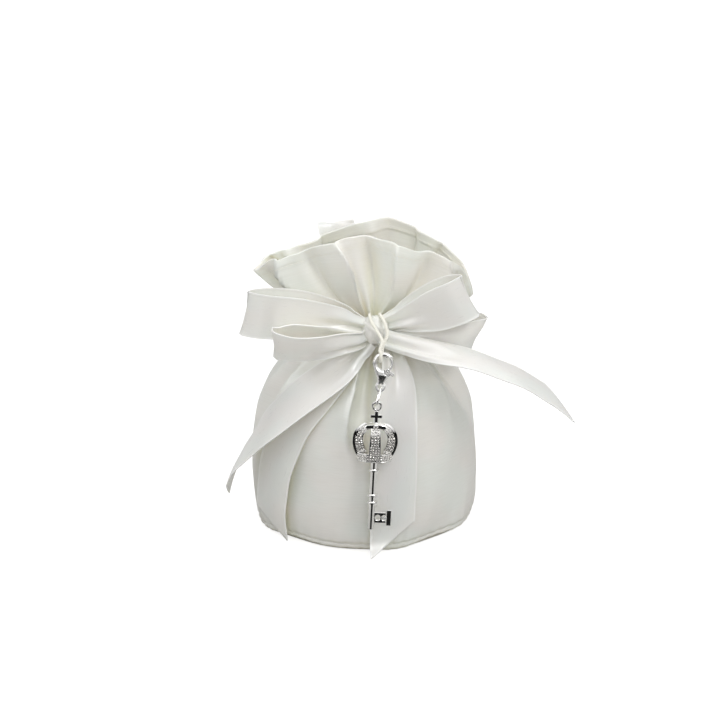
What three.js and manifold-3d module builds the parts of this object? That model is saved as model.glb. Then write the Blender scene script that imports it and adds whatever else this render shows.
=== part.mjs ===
// Satin favour pouch: a hollow cloth bag gathered at the neck and tied with ribbon bows, with a silver key
// charm that hangs from the tie on a lobster clasp.
// Millimetres, +Z up, the front faces -Y, and the origin is the centre of the base.
import * as THREE from "three";
import { mergeVertices } from "three/addons/utils/BufferGeometryUtils.js";
import Module from "manifold-3d";

const wasm = await Module();
wasm.setup();

// Driving dimensions
const CLOTH = 1.2; // wall of the satin bag
const PLEATS = 12; // gathers round the neck
const WALL_COLUMNS = 60; // facets round the bag, five to a pleat
const STEPS_PER_ROW = 2; // facets between two rows of the bag's table
const TIE_HEIGHT = 76.5; // middle of the tied neck
const NECK_X = 2; // the neck leans this far to the right
const RIBBON = 1; // thickness of the satin ribbon
const RIBBON_WIDTH = 16;
const CORD_DIAMETER = 1.2; // the loop that carries the clasp
const GAP = 0.3; // between pieces that touch

const colours = {
  satin: new THREE.Color(0.87, 0.86, 0.82),
  ribbon: new THREE.Color(0.89, 0.88, 0.84),
  silver: new THREE.Color(0.8, 0.8, 0.79),
};
const satin = new THREE.MeshStandardMaterial({ color: colours.satin, roughness: 0.45, metalness: 0 });
const ribbonSatin = new THREE.MeshStandardMaterial({ color: colours.ribbon, roughness: 0.4, metalness: 0 });
const silver = new THREE.MeshStandardMaterial({ color: colours.silver, roughness: 0.15, metalness: 1 });

const radians = THREE.MathUtils.degToRad;
const lerp = THREE.MathUtils.lerp;
const vector = (x, y, z) => new THREE.Vector3(x, y, z);
const easeInOut = (f) => THREE.MathUtils.smoothstep(f, 0, 1);

const pouch = new THREE.Group();

function addPiece(name, geometry, material) {
  const mesh = new THREE.Mesh(geometry, material);
  mesh.name = name;
  pouch.add(mesh);
  return mesh;
}

// A closed skin through rings of points, with one point at each end.
function closedSkin(firstPole, rings, lastPole) {
  const count = rings[0].length;
  const points = [firstPole, ...rings.flat(), lastPole];
  const at = (ring, i) => 1 + ring * count + (i % count);
  const last = points.length - 1;
  const faces = [];
  for (let i = 0; i < count; i++) {
    faces.push(0, at(0, i + 1), at(0, i));
    for (let ring = 0; ring < rings.length - 1; ring++) {
      faces.push(at(ring, i), at(ring, i + 1), at(ring + 1, i + 1));
      faces.push(at(ring, i), at(ring + 1, i + 1), at(ring + 1, i));
    }
    faces.push(last, at(rings.length - 1, i), at(rings.length - 1, i + 1));
  }
  const geometry = new THREE.BufferGeometry().setFromPoints(points);
  geometry.setIndex(faces);
  return geometry;
}

const middleOf = (ring) => ring.reduce((sum, p) => sum.add(p), vector(0, 0, 0)).divideScalar(ring.length);

// A three.js geometry as a manifold-3d solid, and back
function solidOf(geometry, matrix = new THREE.Matrix4()) {
  const bare = geometry.clone().applyMatrix4(matrix);
  bare.deleteAttribute("normal");
  bare.deleteAttribute("uv");
  const merged = mergeVertices(bare, 1e-4);
  const vertProperties = merged.attributes.position.array;
  const triVerts = new Uint32Array(merged.index.array);
  return new wasm.Manifold(new wasm.Mesh({ numProp: 3, vertProperties, triVerts }));
}

function geometryOf(solid) {
  const mesh = solid.getMesh();
  const geometry = new THREE.BufferGeometry();
  geometry.setAttribute("position", new THREE.BufferAttribute(mesh.vertProperties, 3));
  geometry.setIndex(new THREE.BufferAttribute(mesh.triVerts, 1));
  return geometry;
}

// The value of a named column part-way between the rows of a table, on a smooth curve through them
function along(rows, t, column) {
  const i = Math.min(Math.floor(t), rows.length - 2);
  const f = t - i;
  const at = (k) => rows[THREE.MathUtils.clamp(k, 0, rows.length - 1)][column];
  const [a, b, c, d] = [at(i - 1), at(i), at(i + 1), at(i + 2)];
  return b + 0.5 * f * (c - a + f * (2 * a - 5 * b + 4 * c - d + f * (3 * (b - c) + d - a)));
}

// The bag, from the edge of its flat base to the rim of the frill. Each row is one oval round the bag: its
// height at the front, how much lower it is at both sides, how much more the right side droops, its half sizes
// and middle, and the depth of the neck's gathers there.
const BAG_ROWS = [
  { z: CLOTH / 2, sideDrop: 0, rightDroop: 0, halfWidth: 38, halfDepth: 34.6, middleX: 0, gather: 0 },
  { z: 3, sideDrop: 0, rightDroop: 0, halfWidth: 40, halfDepth: 36.4, middleX: 0, gather: 0 },
  { z: 11, sideDrop: 0, rightDroop: 0, halfWidth: 41, halfDepth: 37.2, middleX: 0, gather: 0 },
  { z: 24, sideDrop: 0, rightDroop: 0, halfWidth: 41.1, halfDepth: 37.7, middleX: 0, gather: 0 },
  { z: 36, sideDrop: 0, rightDroop: 0, halfWidth: 39.8, halfDepth: 36.8, middleX: 0, gather: 0 },
  { z: 46, sideDrop: 0, rightDroop: 0, halfWidth: 37.2, halfDepth: 34.6, middleX: 0.2, gather: 0.1 },
  { z: 55, sideDrop: 0, rightDroop: 0, halfWidth: 33, halfDepth: 30.6, middleX: 0.6, gather: 0.3 },
  { z: 62, sideDrop: 0, rightDroop: 0, halfWidth: 27.4, halfDepth: 25.6, middleX: 1, gather: 0.6 },
  { z: 68, sideDrop: 0, rightDroop: 0, halfWidth: 19.6, halfDepth: 18.8, middleX: 1.5, gather: 0.8 },
  { z: 73, sideDrop: 0, rightDroop: 0, halfWidth: 11.4, halfDepth: 11.2, middleX: NECK_X, gather: 0.9 },
  { z: TIE_HEIGHT, sideDrop: 0, rightDroop: 0, halfWidth: 9.8, halfDepth: 9.6, middleX: NECK_X, gather: 0.9 },
  { z: 80, sideDrop: 0.2, rightDroop: 0, halfWidth: 11.4, halfDepth: 10, middleX: NECK_X, gather: 0.9 },
  { z: 86, sideDrop: 3, rightDroop: 2, halfWidth: 22, halfDepth: 10.8, middleX: 1.6, gather: 0.7 },
  { z: 93, sideDrop: 6.5, rightDroop: 5, halfWidth: 31, halfDepth: 11, middleX: 1, gather: 0.4 },
  { z: 101, sideDrop: 10.5, rightDroop: 7.5, halfWidth: 36.4, halfDepth: 10.4, middleX: 0.5, gather: 0.2 },
  { z: 108, sideDrop: 14, rightDroop: 9, halfWidth: 39, halfDepth: 9.4, middleX: 0, gather: 0 },
];

// Folds and dents of the bag: each runs down from its top to its foot, turning from one angle to the other
// (0 is +X, -90 the front), is deepest part-way down, at peak, and is a ridge where its depth is above 0.
const BAG_FOLDS = [
  { name: "front valley", from: -74, to: -93, spread: 8, depth: -5.5, peak: 0.55, top: 73, foot: 31 },
  { name: "ridge left of it", from: -84, to: -108, spread: 7, depth: 1.6, peak: 0.5, top: 72, foot: 28 },
  { name: "right shoulder dent", from: -25, to: -8, spread: 11, depth: -2.4, peak: 0.5, top: 72, foot: 36 },
  { name: "right shoulder ridge", from: -48, to: -36, spread: 9, depth: 1.3, peak: 0.5, top: 72, foot: 40 },
  { name: "left shoulder dent", from: -150, to: -166, spread: 10, depth: -2.2, peak: 0.5, top: 72, foot: 34 },
  { name: "back left valley", from: 125, to: 132, spread: 10, depth: -3, peak: 0.45, top: 73, foot: 30 },
  { name: "back ridge", from: 92, to: 96, spread: 9, depth: 1.5, peak: 0.5, top: 72, foot: 34 },
  { name: "back right valley", from: 58, to: 50, spread: 9, depth: -2.8, peak: 0.45, top: 73, foot: 32 },
  { name: "frill front valley", from: -88, to: -82, spread: 9, depth: -3, peak: 0.3, top: 110, foot: 78 },
  { name: "frill ridge, right", from: -70, to: -66, spread: 8, depth: 2.2, peak: 0.4, top: 112, foot: 79 },
  { name: "frill pleat, left", from: -111, to: -98, spread: 5, depth: 2, peak: 0.3, top: 114, foot: 79 },
  { name: "frill valley, left", from: -126, to: -116, spread: 6, depth: -2, peak: 0.3, top: 114, foot: 79 },
  { name: "frill pleat, far left", from: -140, to: -132, spread: 5, depth: 2.2, peak: 0.3, top: 114, foot: 79 },
  { name: "frill valley, right", from: -48, to: -50, spread: 7, depth: -2, peak: 0.3, top: 114, foot: 79 },
  { name: "frill back pleat", from: 108, to: 104, spread: 7, depth: 1.8, peak: 0.3, top: 114, foot: 79 },
  { name: "frill back valley", from: 82, to: 84, spread: 9, depth: -1.6, peak: 0.3, top: 114, foot: 79 },
  { name: "frill back ridge", from: 62, to: 66, spread: 7, depth: 2, peak: 0.3, top: 114, foot: 79 },
];

function foldDepth(angleDegrees, z) {
  let depth = 0;
  for (const fold of BAG_FOLDS) {
    const f = (fold.top - z) / (fold.top - fold.foot);
    if (f <= 0 || f >= 1) continue;
    const strength = f < fold.peak ? easeInOut(f / fold.peak) : easeInOut((1 - f) / (1 - fold.peak));
    const away = angleDegrees - lerp(fold.from, fold.to, f);
    const turned = THREE.MathUtils.euclideanModulo(away + 180, 360) - 180;
    depth += fold.depth * strength * Math.exp(-((turned / fold.spread) ** 2));
  }
  return depth;
}

// A point of the bag's wall: t counts the rows, and out is measured square to the smooth wall, from its
// middle. The droop falls off fast, so that only the right end of the frill sinks.
const DROOP_POWER = 16;
const SLOPE_STEP = 0.05; // of a row, to each side

function bagPoint(t, angleDegrees, out, folded = true) {
  const angle = radians(angleDegrees);
  const [c, s] = [Math.cos(angle), Math.sin(angle)];
  const droop = Math.max(0, c) ** DROOP_POWER;
  const oval = (at) => {
    const row = {};
    for (const column of Object.keys(BAG_ROWS[0])) row[column] = along(BAG_ROWS, at, column);
    return row;
  };
  const row = oval(t);
  const facing = vector(c / row.halfWidth, s / row.halfDepth, 0).normalize();
  const profile = (at) => {
    const o = oval(at);
    const height = o.z - o.sideDrop * c * c - o.rightDroop * droop;
    return { reach: Math.hypot(o.halfWidth * c, o.halfDepth * s), height };
  };
  const below = profile(Math.max(0, t - SLOPE_STEP));
  const above = profile(Math.min(BAG_ROWS.length - 1, t + SLOPE_STEP));
  const slope = new THREE.Vector2(above.height - below.height, below.reach - above.reach).normalize();
  if (t === 0) slope.set(0, -1); // the base is flat
  const gathers = row.gather * Math.cos(PLEATS * angle) * (1 + 0.3 * Math.cos(3 * angle + 1));
  const sideways = out * slope.x + (folded ? gathers + foldDepth(angleDegrees, row.z) : 0);
  return vector(
    row.middleX + row.halfWidth * c + facing.x * sideways,
    row.halfDepth * s + facing.y * sideways,
    row.z - row.sideDrop * c * c - row.rightDroop * droop + out * slope.y,
  );
}

function bagGeometry() {
  const ringAt = (t, out) =>
    Array.from({ length: WALL_COLUMNS }, (_, i) => bagPoint(t, (360 * i) / WALL_COLUMNS, out));
  const count = (BAG_ROWS.length - 1) * STEPS_PER_ROW;
  const heights = Array.from({ length: count + 1 }, (_, i) => i / STEPS_PER_ROW);
  const outside = heights.map((t) => ringAt(t, CLOTH / 2));
  const inside = heights.map((t) => ringAt(t, -CLOTH / 2)).reverse();
  return closedSkin(vector(0, 0, 0), [...outside, ...inside], vector(0, 0, CLOTH));
}

addPiece("pouch", bagGeometry(), satin);

// Where a ribbon lies on the smooth belly: the row of the table at a height below the tie
function rowAtHeight(z) {
  let [low, high] = [0, BAG_ROWS.findIndex((row) => row.z === TIE_HEIGHT)];
  for (let i = 0; i < 30; i++) {
    const t = (low + high) / 2;
    if (along(BAG_ROWS, t, "z") < z) low = t;
    else high = t;
  }
  return (low + high) / 2;
}

// A place on the belly as a ribbon station: off is the way straight out from the wall's outer face to the
// ribbon's middle, and turn leans the ribbon about its own length, 0 flat against the cloth.
function onBelly({ angle, z, off, turn, width }) {
  const t = rowAtHeight(z);
  const wall = bagPoint(t, angle, CLOTH / 2, false);
  const [c, s] = [Math.cos(radians(angle)), Math.sin(radians(angle))];
  const [halfWidth, halfDepth] = [along(BAG_ROWS, t, "halfWidth"), along(BAG_ROWS, t, "halfDepth")];
  const facing = vector(c / halfWidth, s / halfDepth, 0).normalize();
  const place = wall.clone().addScaledVector(facing, off);
  const across = vector(-facing.y, facing.x, 0).multiplyScalar(Math.cos(radians(turn)));
  across.addScaledVector(facing, Math.sin(radians(turn)));
  return { x: place.x, y: place.y, z, acrossX: across.x, acrossY: across.y, acrossZ: 0, width };
}

// A strip of ribbon through stations: a middle point, the direction across the ribbon, and its width, which
// the knot pinches. The end is cut on the slant: the side that across points to ends this much sooner, or the
// other side if slant is below 0.
function ribbonGeometry(stations, steps, slant = 0) {
  const line = new THREE.CatmullRomCurve3(stations.map((s) => vector(s.x, s.y, s.z)), false, "centripetal");
  const length = line.getLength();
  const sectionAt = (share, side, face) => {
    const shorter = slant * side > 0 ? Math.abs(slant) : 0;
    const u = (share * (length - shorter)) / length;
    const t = line.getUtoTmapping(u);
    const column = (name) => along(stations, t * (stations.length - 1), name);
    const tangent = line.getTangent(t);
    const across = vector(column("acrossX"), column("acrossY"), column("acrossZ"));
    across.addScaledVector(tangent, -across.dot(tangent)).normalize();
    const normal = vector(0, 0, 0).crossVectors(tangent, across);
    const edge = line.getPoint(t).addScaledVector(across, (side * column("width")) / 2);
    return edge.addScaledVector(normal, (face * RIBBON) / 2);
  };
  const corners = [[-1, -1], [1, -1], [1, 1], [-1, 1]];
  const ringAt = (share) => corners.map(([side, face]) => sectionAt(share, side, face));
  const rings = Array.from({ length: steps + 1 }, (_, i) => ringAt(i / steps));
  return closedSkin(middleOf(rings[0]), rings, middleOf(rings[steps]));
}

// The tie: ribbon wound round the gathered neck
const TIE_INSIDE = 12.6;
const TIE_HALF_HEIGHT = 2.2;
const TIE_FACETS = 40;
const tieProfile = [
  new THREE.Vector2(TIE_INSIDE, -TIE_HALF_HEIGHT),
  new THREE.Vector2(TIE_INSIDE + RIBBON, -TIE_HALF_HEIGHT),
  new THREE.Vector2(TIE_INSIDE + RIBBON, TIE_HALF_HEIGHT),
  new THREE.Vector2(TIE_INSIDE, TIE_HALF_HEIGHT),
  new THREE.Vector2(TIE_INSIDE, -TIE_HALF_HEIGHT),
];
const tie = addPiece("neck_tie", new THREE.LatheGeometry(tieProfile, TIE_FACETS), ribbonSatin);
tie.rotation.x = Math.PI / 2;
tie.position.set(NECK_X, 0, TIE_HEIGHT);

// The knot: a soft lump of crossed ribbon in front of the tie, ribbed by its folds
const KNOT = { x: 3.8, y: -18.8, z: 77.4, halfWidth: 4.8, halfDepth: 4.8, halfHeight: 5 };
const KNOT_RIBS = { count: 5, depth: 0.35 };
const KNOT_FACETS = { around: 20, levels: 9 };

function knotGeometry() {
  const rings = [];
  for (let level = 1; level < KNOT_FACETS.levels; level++) {
    const polar = (Math.PI * level) / KNOT_FACETS.levels - Math.PI / 2;
    const ring = Array.from({ length: KNOT_FACETS.around }, (_, i) => {
      const angle = (2 * Math.PI * i) / KNOT_FACETS.around;
      const rib = (KNOT_RIBS.depth / KNOT.halfWidth) * Math.cos(KNOT_RIBS.count * angle);
      const bulge = 1 + rib * Math.cos(polar);
      return vector(
        KNOT.x + KNOT.halfWidth * bulge * Math.cos(polar) * Math.cos(angle),
        KNOT.y + KNOT.halfDepth * bulge * Math.cos(polar) * Math.sin(angle),
        KNOT.z + KNOT.halfHeight * Math.sin(polar),
      );
    });
    rings.push(ring);
  }
  const pole = (side) => vector(KNOT.x, KNOT.y, KNOT.z + side * KNOT.halfHeight);
  return closedSkin(pole(-1), rings, pole(1));
}

addPiece("bow_knot", knotGeometry(), ribbonSatin);

// The bow's loops: each leaves the knot, runs out, turns round and comes back behind its front run.
const LOOP_STEPS = 22;
const LOOPS = {
  bow_loop_left_upper: [
    { x: -1.4, y: -19.9, z: 79.2, acrossX: 0.1, acrossY: 0, acrossZ: 1, width: 4.6 },
    { x: -8, y: -22.6, z: 81.4, acrossX: 0.2, acrossY: 0, acrossZ: 1, width: 10.6 },
    { x: -22, y: -25, z: 83.6, acrossX: 0.24, acrossY: 0, acrossZ: 0.97, width: 15 },
    { x: -36, y: -25.2, z: 84.6, acrossX: 0.24, acrossY: 0, acrossZ: 0.97, width: RIBBON_WIDTH },
    { x: -41.6, y: -21.6, z: 84.8, acrossX: 0.24, acrossY: 0, acrossZ: 0.97, width: RIBBON_WIDTH },
    { x: -36, y: -18, z: 84.8, acrossX: 0.24, acrossY: 0, acrossZ: 0.97, width: RIBBON_WIDTH },
    { x: -22, y: -17.4, z: 84, acrossX: 0.24, acrossY: 0, acrossZ: 0.97, width: 15 },
    { x: -8, y: -17.3, z: 81.6, acrossX: 0.2, acrossY: 0, acrossZ: 1, width: 10.6 },
    { x: -1.4, y: -17.3, z: 79.2, acrossX: 0.1, acrossY: 0, acrossZ: 1, width: 4.6 },
  ],
  bow_loop_left_lower: [
    { x: -1, y: -22.4, z: 75, acrossX: 0, acrossY: -0.3, acrossZ: 0.95, width: 3.6 },
    { x: -6, y: -28.2, z: 76, acrossX: 0, acrossY: -0.45, acrossZ: 0.89, width: 8 },
    { x: -15, y: -34.6, z: 77, acrossX: 0, acrossY: -0.6, acrossZ: 0.8, width: 12.6 },
    { x: -25, y: -36.6, z: 77.6, acrossX: 0, acrossY: -0.6, acrossZ: 0.8, width: 15 },
    { x: -30.4, y: -33.6, z: 77.8, acrossX: 0, acrossY: -0.6, acrossZ: 0.8, width: 15 },
    { x: -25, y: -30.6, z: 78, acrossX: 0, acrossY: -0.6, acrossZ: 0.8, width: 14 },
    { x: -15, y: -29.4, z: 77.4, acrossX: 0, acrossY: -0.6, acrossZ: 0.8, width: 12 },
    { x: -6, y: -25.4, z: 76, acrossX: 0, acrossY: -0.45, acrossZ: 0.89, width: 7 },
    { x: -1.5, y: -21, z: 74.6, acrossX: 0, acrossY: -0.3, acrossZ: 0.95, width: 3.6 },
  ],
  bow_loop_right_upper: [
    { x: 8.8, y: -20, z: 80, acrossX: -0.3, acrossY: 0, acrossZ: 0.95, width: 4.6 },
    { x: 14.6, y: -22.4, z: 82.4, acrossX: -0.4, acrossY: 0, acrossZ: 0.9, width: 10 },
    { x: 24, y: -24.6, z: 86.4, acrossX: -0.45, acrossY: 0, acrossZ: 0.89, width: 15 },
    { x: 32, y: -24.4, z: 89.4, acrossX: -0.45, acrossY: 0, acrossZ: 0.89, width: RIBBON_WIDTH },
    { x: 36.4, y: -21.2, z: 91, acrossX: -0.45, acrossY: 0, acrossZ: 0.89, width: RIBBON_WIDTH },
    { x: 32, y: -18, z: 90, acrossX: -0.45, acrossY: 0, acrossZ: 0.89, width: RIBBON_WIDTH },
    { x: 24, y: -17.4, z: 87, acrossX: -0.45, acrossY: 0, acrossZ: 0.89, width: 15 },
    { x: 14.6, y: -17.3, z: 82.6, acrossX: -0.4, acrossY: 0, acrossZ: 0.9, width: 10 },
    { x: 8.8, y: -17.4, z: 80, acrossX: -0.3, acrossY: 0, acrossZ: 0.95, width: 4.6 },
  ],
  bow_loop_right_lower: [
    { x: 9, y: -19.4, z: 75.6, acrossX: 0.2, acrossY: 0, acrossZ: 0.97, width: 3.4 },
    { x: 17, y: -20.4, z: 74, acrossX: 0.35, acrossY: 0, acrossZ: 0.93, width: 8 },
    { x: 28, y: -21, z: 74.4, acrossX: 0.5, acrossY: 0, acrossZ: 0.86, width: 12.6 },
    { x: 36, y: -20, z: 75, acrossX: 0.5, acrossY: 0, acrossZ: 0.86, width: 14 },
    { x: 40, y: -16.6, z: 75.4, acrossX: 0.5, acrossY: 0, acrossZ: 0.86, width: 14 },
    { x: 36, y: -13.2, z: 75.4, acrossX: 0.5, acrossY: 0, acrossZ: 0.86, width: 14 },
    { x: 28, y: -14, z: 74.6, acrossX: 0.5, acrossY: 0, acrossZ: 0.86, width: 12.6 },
    { x: 17, y: -15.8, z: 74.2, acrossX: 0.35, acrossY: 0, acrossZ: 0.93, width: 8 },
    { x: 9, y: -17, z: 75.6, acrossX: 0.2, acrossY: 0, acrossZ: 0.97, width: 3.4 },
  ],
  bow_loop_back: [
    { x: 0.6, y: 14.5, z: 77, acrossX: 1, acrossY: 0, acrossZ: 0, width: 8 },
    { x: -1.6, y: 15.4, z: 83, acrossX: 0.98, acrossY: 0.1, acrossZ: 0, width: 11 },
    { x: -6.4, y: 16.2, z: 93, acrossX: 0.97, acrossY: 0.2, acrossZ: 0.04, width: 13 },
    { x: -9.6, y: 16.6, z: 102, acrossX: 0.97, acrossY: 0.22, acrossZ: 0.04, width: 13.4 },
    { x: -10.4, y: 18.6, z: 106, acrossX: 0.97, acrossY: 0.22, acrossZ: 0.04, width: 13.4 },
    { x: -9.8, y: 20.8, z: 102, acrossX: 0.97, acrossY: 0.22, acrossZ: 0.04, width: 13.4 },
    { x: -6.4, y: 21, z: 93, acrossX: 0.97, acrossY: 0.2, acrossZ: 0.04, width: 13 },
    { x: -1.6, y: 18.8, z: 83, acrossX: 0.98, acrossY: 0.1, acrossZ: 0, width: 11 },
    { x: 0.6, y: 16.5, z: 77, acrossX: 1, acrossY: 0, acrossZ: 0, width: 8 },
  ],
};
for (const [name, stations] of Object.entries(LOOPS)) {
  addPiece(name, ribbonGeometry(stations, LOOP_STEPS), ribbonSatin);
}

// The tails: three fall over the belly, and the right one springs clear of it. Their ends are cut on the
// slant.
const TAIL_STEPS = 18;
const BELLY_TAILS = {
  tail_left_outer: {
    slant: 9,
    rows: [
      { angle: -100, z: 70.8, off: 7.4, turn: 0, width: 4 },
      { angle: -109, z: 67.4, off: 9, turn: 8, width: 8 },
      { angle: -122, z: 60, off: 8.4, turn: 16, width: 13 },
      { angle: -137, z: 48, off: 7, turn: 22, width: RIBBON_WIDTH },
      { angle: -151, z: 34, off: 6.6, turn: 28, width: RIBBON_WIDTH },
      { angle: -160, z: 23, off: 8.6, turn: 38, width: RIBBON_WIDTH },
      { angle: -164, z: 11.6, off: 11, turn: 48, width: RIBBON_WIDTH },
    ],
  },
  tail_left_inner: {
    slant: -8,
    rows: [
      { angle: -94, z: 70.6, off: 4.4, turn: 0, width: 4 },
      { angle: -102, z: 67, off: 4.6, turn: 0, width: 8 },
      { angle: -113, z: 59, off: 3, turn: 0, width: 13 },
      { angle: -127, z: 46, off: 1.8, turn: 0, width: RIBBON_WIDTH },
      { angle: -137, z: 30, off: 1.4, turn: 0, width: RIBBON_WIDTH },
      { angle: -141, z: 14, off: 1.4, turn: 0, width: RIBBON_WIDTH },
      { angle: -142, z: 1, off: 3.2, turn: 0, width: RIBBON_WIDTH },
    ],
  },
  tail_centre: {
    slant: 14,
    rows: [
      { angle: -70, z: 71.8, off: 6.6, turn: 0, width: 5 },
      { angle: -70, z: 68, off: 6, turn: 0, width: 8 },
      { angle: -71, z: 60, off: 3, turn: 0, width: 13 },
      { angle: -74, z: 48, off: 1.2, turn: 0, width: RIBBON_WIDTH },
      { angle: -75, z: 34, off: 1.1, turn: 0, width: RIBBON_WIDTH },
      { angle: -76, z: 18, off: 1.2, turn: 0, width: RIBBON_WIDTH },
      { angle: -77, z: 5, off: 3, turn: 0, width: RIBBON_WIDTH },
      { angle: -77.6, z: 1, off: 10, turn: 0, width: RIBBON_WIDTH },
    ],
  },
};
for (const [name, { slant, rows }] of Object.entries(BELLY_TAILS)) {
  addPiece(name, ribbonGeometry(rows.map(onBelly), TAIL_STEPS, slant), ribbonSatin);
}

const RIGHT_TAIL_SLANT = -11;
const RIGHT_TAIL = [
  { x: 7, y: -22.7, z: 76, acrossX: 0, acrossY: -0.5, acrossZ: -0.86, width: 4 },
  { x: 19, y: -27.4, z: 74, acrossX: 0.1, acrossY: -0.75, acrossZ: -0.55, width: 9 },
  { x: 34, y: -29, z: 71.4, acrossX: 0.1, acrossY: -0.92, acrossZ: -0.32, width: 14 },
  { x: 50, y: -27.6, z: 65.2, acrossX: 0.1, acrossY: -0.96, acrossZ: -0.24, width: RIBBON_WIDTH },
  { x: 63, y: -25, z: 57, acrossX: 0.1, acrossY: -0.96, acrossZ: -0.24, width: RIBBON_WIDTH },
  { x: 73, y: -23.4, z: 48.4, acrossX: 0.1, acrossY: -0.96, acrossZ: -0.24, width: RIBBON_WIDTH },
];
addPiece("tail_right", ribbonGeometry(RIGHT_TAIL, TAIL_STEPS, RIGHT_TAIL_SLANT), ribbonSatin);

// The charm hangs in two frames: the clasp leans back on the shoulder of the bag, and the key lies on the
// belly.
const CLASP_AT = { x: 6.6, y: -33.4, z: 70.6, leanBack: 22, leanLeft: 8 };
const KEY_AT = { x: 4.3, y: -40, z: 57.4, leanBack: 5, leanLeft: 2.6 };

function charmFrame({ x, y, z, leanBack, leanLeft }) {
  const frame = new THREE.Group();
  frame.position.set(x, y, z);
  frame.rotation.set(-radians(leanBack), radians(leanLeft), 0);
  frame.updateMatrix();
  return frame;
}

const claspFrame = charmFrame(CLASP_AT);
const keyFrame = charmFrame(KEY_AT);
pouch.add(claspFrame, keyFrame);

function addTo(frame, name, geometry, material) {
  frame.add(addPiece(name, geometry, material));
}

// A flat outline in the plane that faces the front, as a plate from front to back
function plateGeometry(shape, front, back, curveSegments = 8) {
  const depth = back - front;
  const plate = new THREE.ExtrudeGeometry(shape, { depth, bevelEnabled: false, curveSegments });
  return plate.rotateX(Math.PI / 2).translate(0, back, 0);
}

// A round bar along the depth
function discGeometry(x, z, radius, front, back, sides = 20) {
  const disc = new THREE.CylinderGeometry(radius, radius, back - front, sides);
  return disc.translate(x, (front + back) / 2, z);
}

// A bar with square edges, by its lowest and highest corner
function barGeometry(low, high) {
  const bar = new THREE.BoxGeometry(high.x - low.x, high.y - low.y, high.z - low.z);
  return bar.translate((low.x + high.x) / 2, (low.y + high.y) / 2, (low.z + high.z) / 2);
}

// The lobster clasp: a hook that swells into a body with an eye below, and a lever on a rivet that closes its
// right side. A cutter reaches CUT past what it cuts.
const CUT = 1;
const ROUND_FACETS = 40;
const HOOK = { outside: 3.65, inside: 2.3, front: -1.1, back: 1.1 };
const HOOK_ANGLES = { start: 28, left: 212, mouth: -32 }; // anticlockwise from +X, as seen from the front
const CLASP_WAIST = { halfWidth: 0.85, z: -6.9 }; // where the body meets its eye
const CLASP_CHEEK = { x: 3, z: -3.4 }; // the body's lower right corner
const CLASP_EYE = { z: -8.1, outside: 1.7, inside: 1, front: -0.45, back: 0.45 };
const RIVET = { x: 2, z: -2.75, radius: 0.42, front: -0.8, back: 1, facets: 12 };
const LEVER = { reach: 4.7, front: -1.1, back: 0, eye: 1.1, outside: 3.5, inside: 2.4, footAngle: -38, tipAngle: 66 };
const LEVER_NUB = { x: 3.5, z: -3.5, radius: 0.62, facets: 12 };
const LEVER_NECK = { low: { x: 2.3, z: -3.55 }, high: { x: 3.5, z: -2.75 } };
const LEVER_SIDE = { low: { x: 0.4, z: -1 }, high: { x: 5.4, z: 5 } }; // of the hook, where the lever swings
const LEVER_GAP = 0.25;

function claspBodyGeometry() {
  const outline = new THREE.Shape();
  const [startAngle, mouthAngle] = [radians(HOOK_ANGLES.start), radians(HOOK_ANGLES.mouth)];
  const [front, back] = [HOOK.front - CUT, HOOK.back + CUT];
  outline.absarc(0, 0, HOOK.outside, startAngle, radians(HOOK_ANGLES.left), false);
  outline.lineTo(-CLASP_WAIST.halfWidth, CLASP_WAIST.z);
  outline.lineTo(CLASP_WAIST.halfWidth, CLASP_WAIST.z);
  outline.lineTo(CLASP_CHEEK.x, CLASP_CHEEK.z);
  outline.lineTo(HOOK.inside * Math.cos(mouthAngle), HOOK.inside * Math.sin(mouthAngle));
  outline.absarc(0, 0, HOOK.inside, mouthAngle, startAngle, true);
  const eye = solidOf(discGeometry(0, CLASP_EYE.z, CLASP_EYE.outside, CLASP_EYE.front, CLASP_EYE.back));
  const eyeHole = solidOf(discGeometry(0, CLASP_EYE.z, CLASP_EYE.inside, front, back));
  const leverSweep = solidOf(discGeometry(RIVET.x, RIVET.z, LEVER.reach + GAP, front, back, ROUND_FACETS));
  const leverSide = solidOf(barGeometry({ ...LEVER_SIDE.low, y: front }, { ...LEVER_SIDE.high, y: back }));
  const notchRadius = LEVER.eye + 2 * LEVER_GAP;
  const notch = solidOf(discGeometry(RIVET.x, RIVET.z, notchRadius, front, LEVER.back + LEVER_GAP));
  const rivet = solidOf(discGeometry(RIVET.x, RIVET.z, RIVET.radius, RIVET.front, RIVET.back, RIVET.facets));
  const body = solidOf(plateGeometry(outline, HOOK.front, HOOK.back, 14)).add(eye).subtract(eyeHole);
  return geometryOf(body.subtract(leverSweep.intersect(leverSide)).subtract(notch).add(rivet));
}

function claspLeverGeometry() {
  const band = new THREE.Shape();
  const [foot, tip] = [radians(LEVER.footAngle), radians(LEVER.tipAngle)];
  const { front, back } = LEVER;
  band.absarc(0, 0, LEVER.outside, foot, tip, false);
  band.absarc(0, 0, LEVER.inside, tip, foot, true);
  const reach = solidOf(discGeometry(RIVET.x, RIVET.z, LEVER.reach, front - CUT, back + CUT, ROUND_FACETS));
  const eye = solidOf(discGeometry(RIVET.x, RIVET.z, LEVER.eye, front, back));
  const nub = solidOf(discGeometry(LEVER_NUB.x, LEVER_NUB.z, LEVER_NUB.radius, front, back, LEVER_NUB.facets));
  const neck = solidOf(barGeometry({ ...LEVER_NECK.low, y: front }, { ...LEVER_NECK.high, y: back }));
  const holeRadius = RIVET.radius + LEVER_GAP;
  const hole = solidOf(discGeometry(RIVET.x, RIVET.z, holeRadius, front - CUT, back + CUT, RIVET.facets));
  const arm = solidOf(plateGeometry(band, front, back, 10));
  return geometryOf(arm.add(eye).add(neck).add(nub).intersect(reach).subtract(hole));
}

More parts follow.
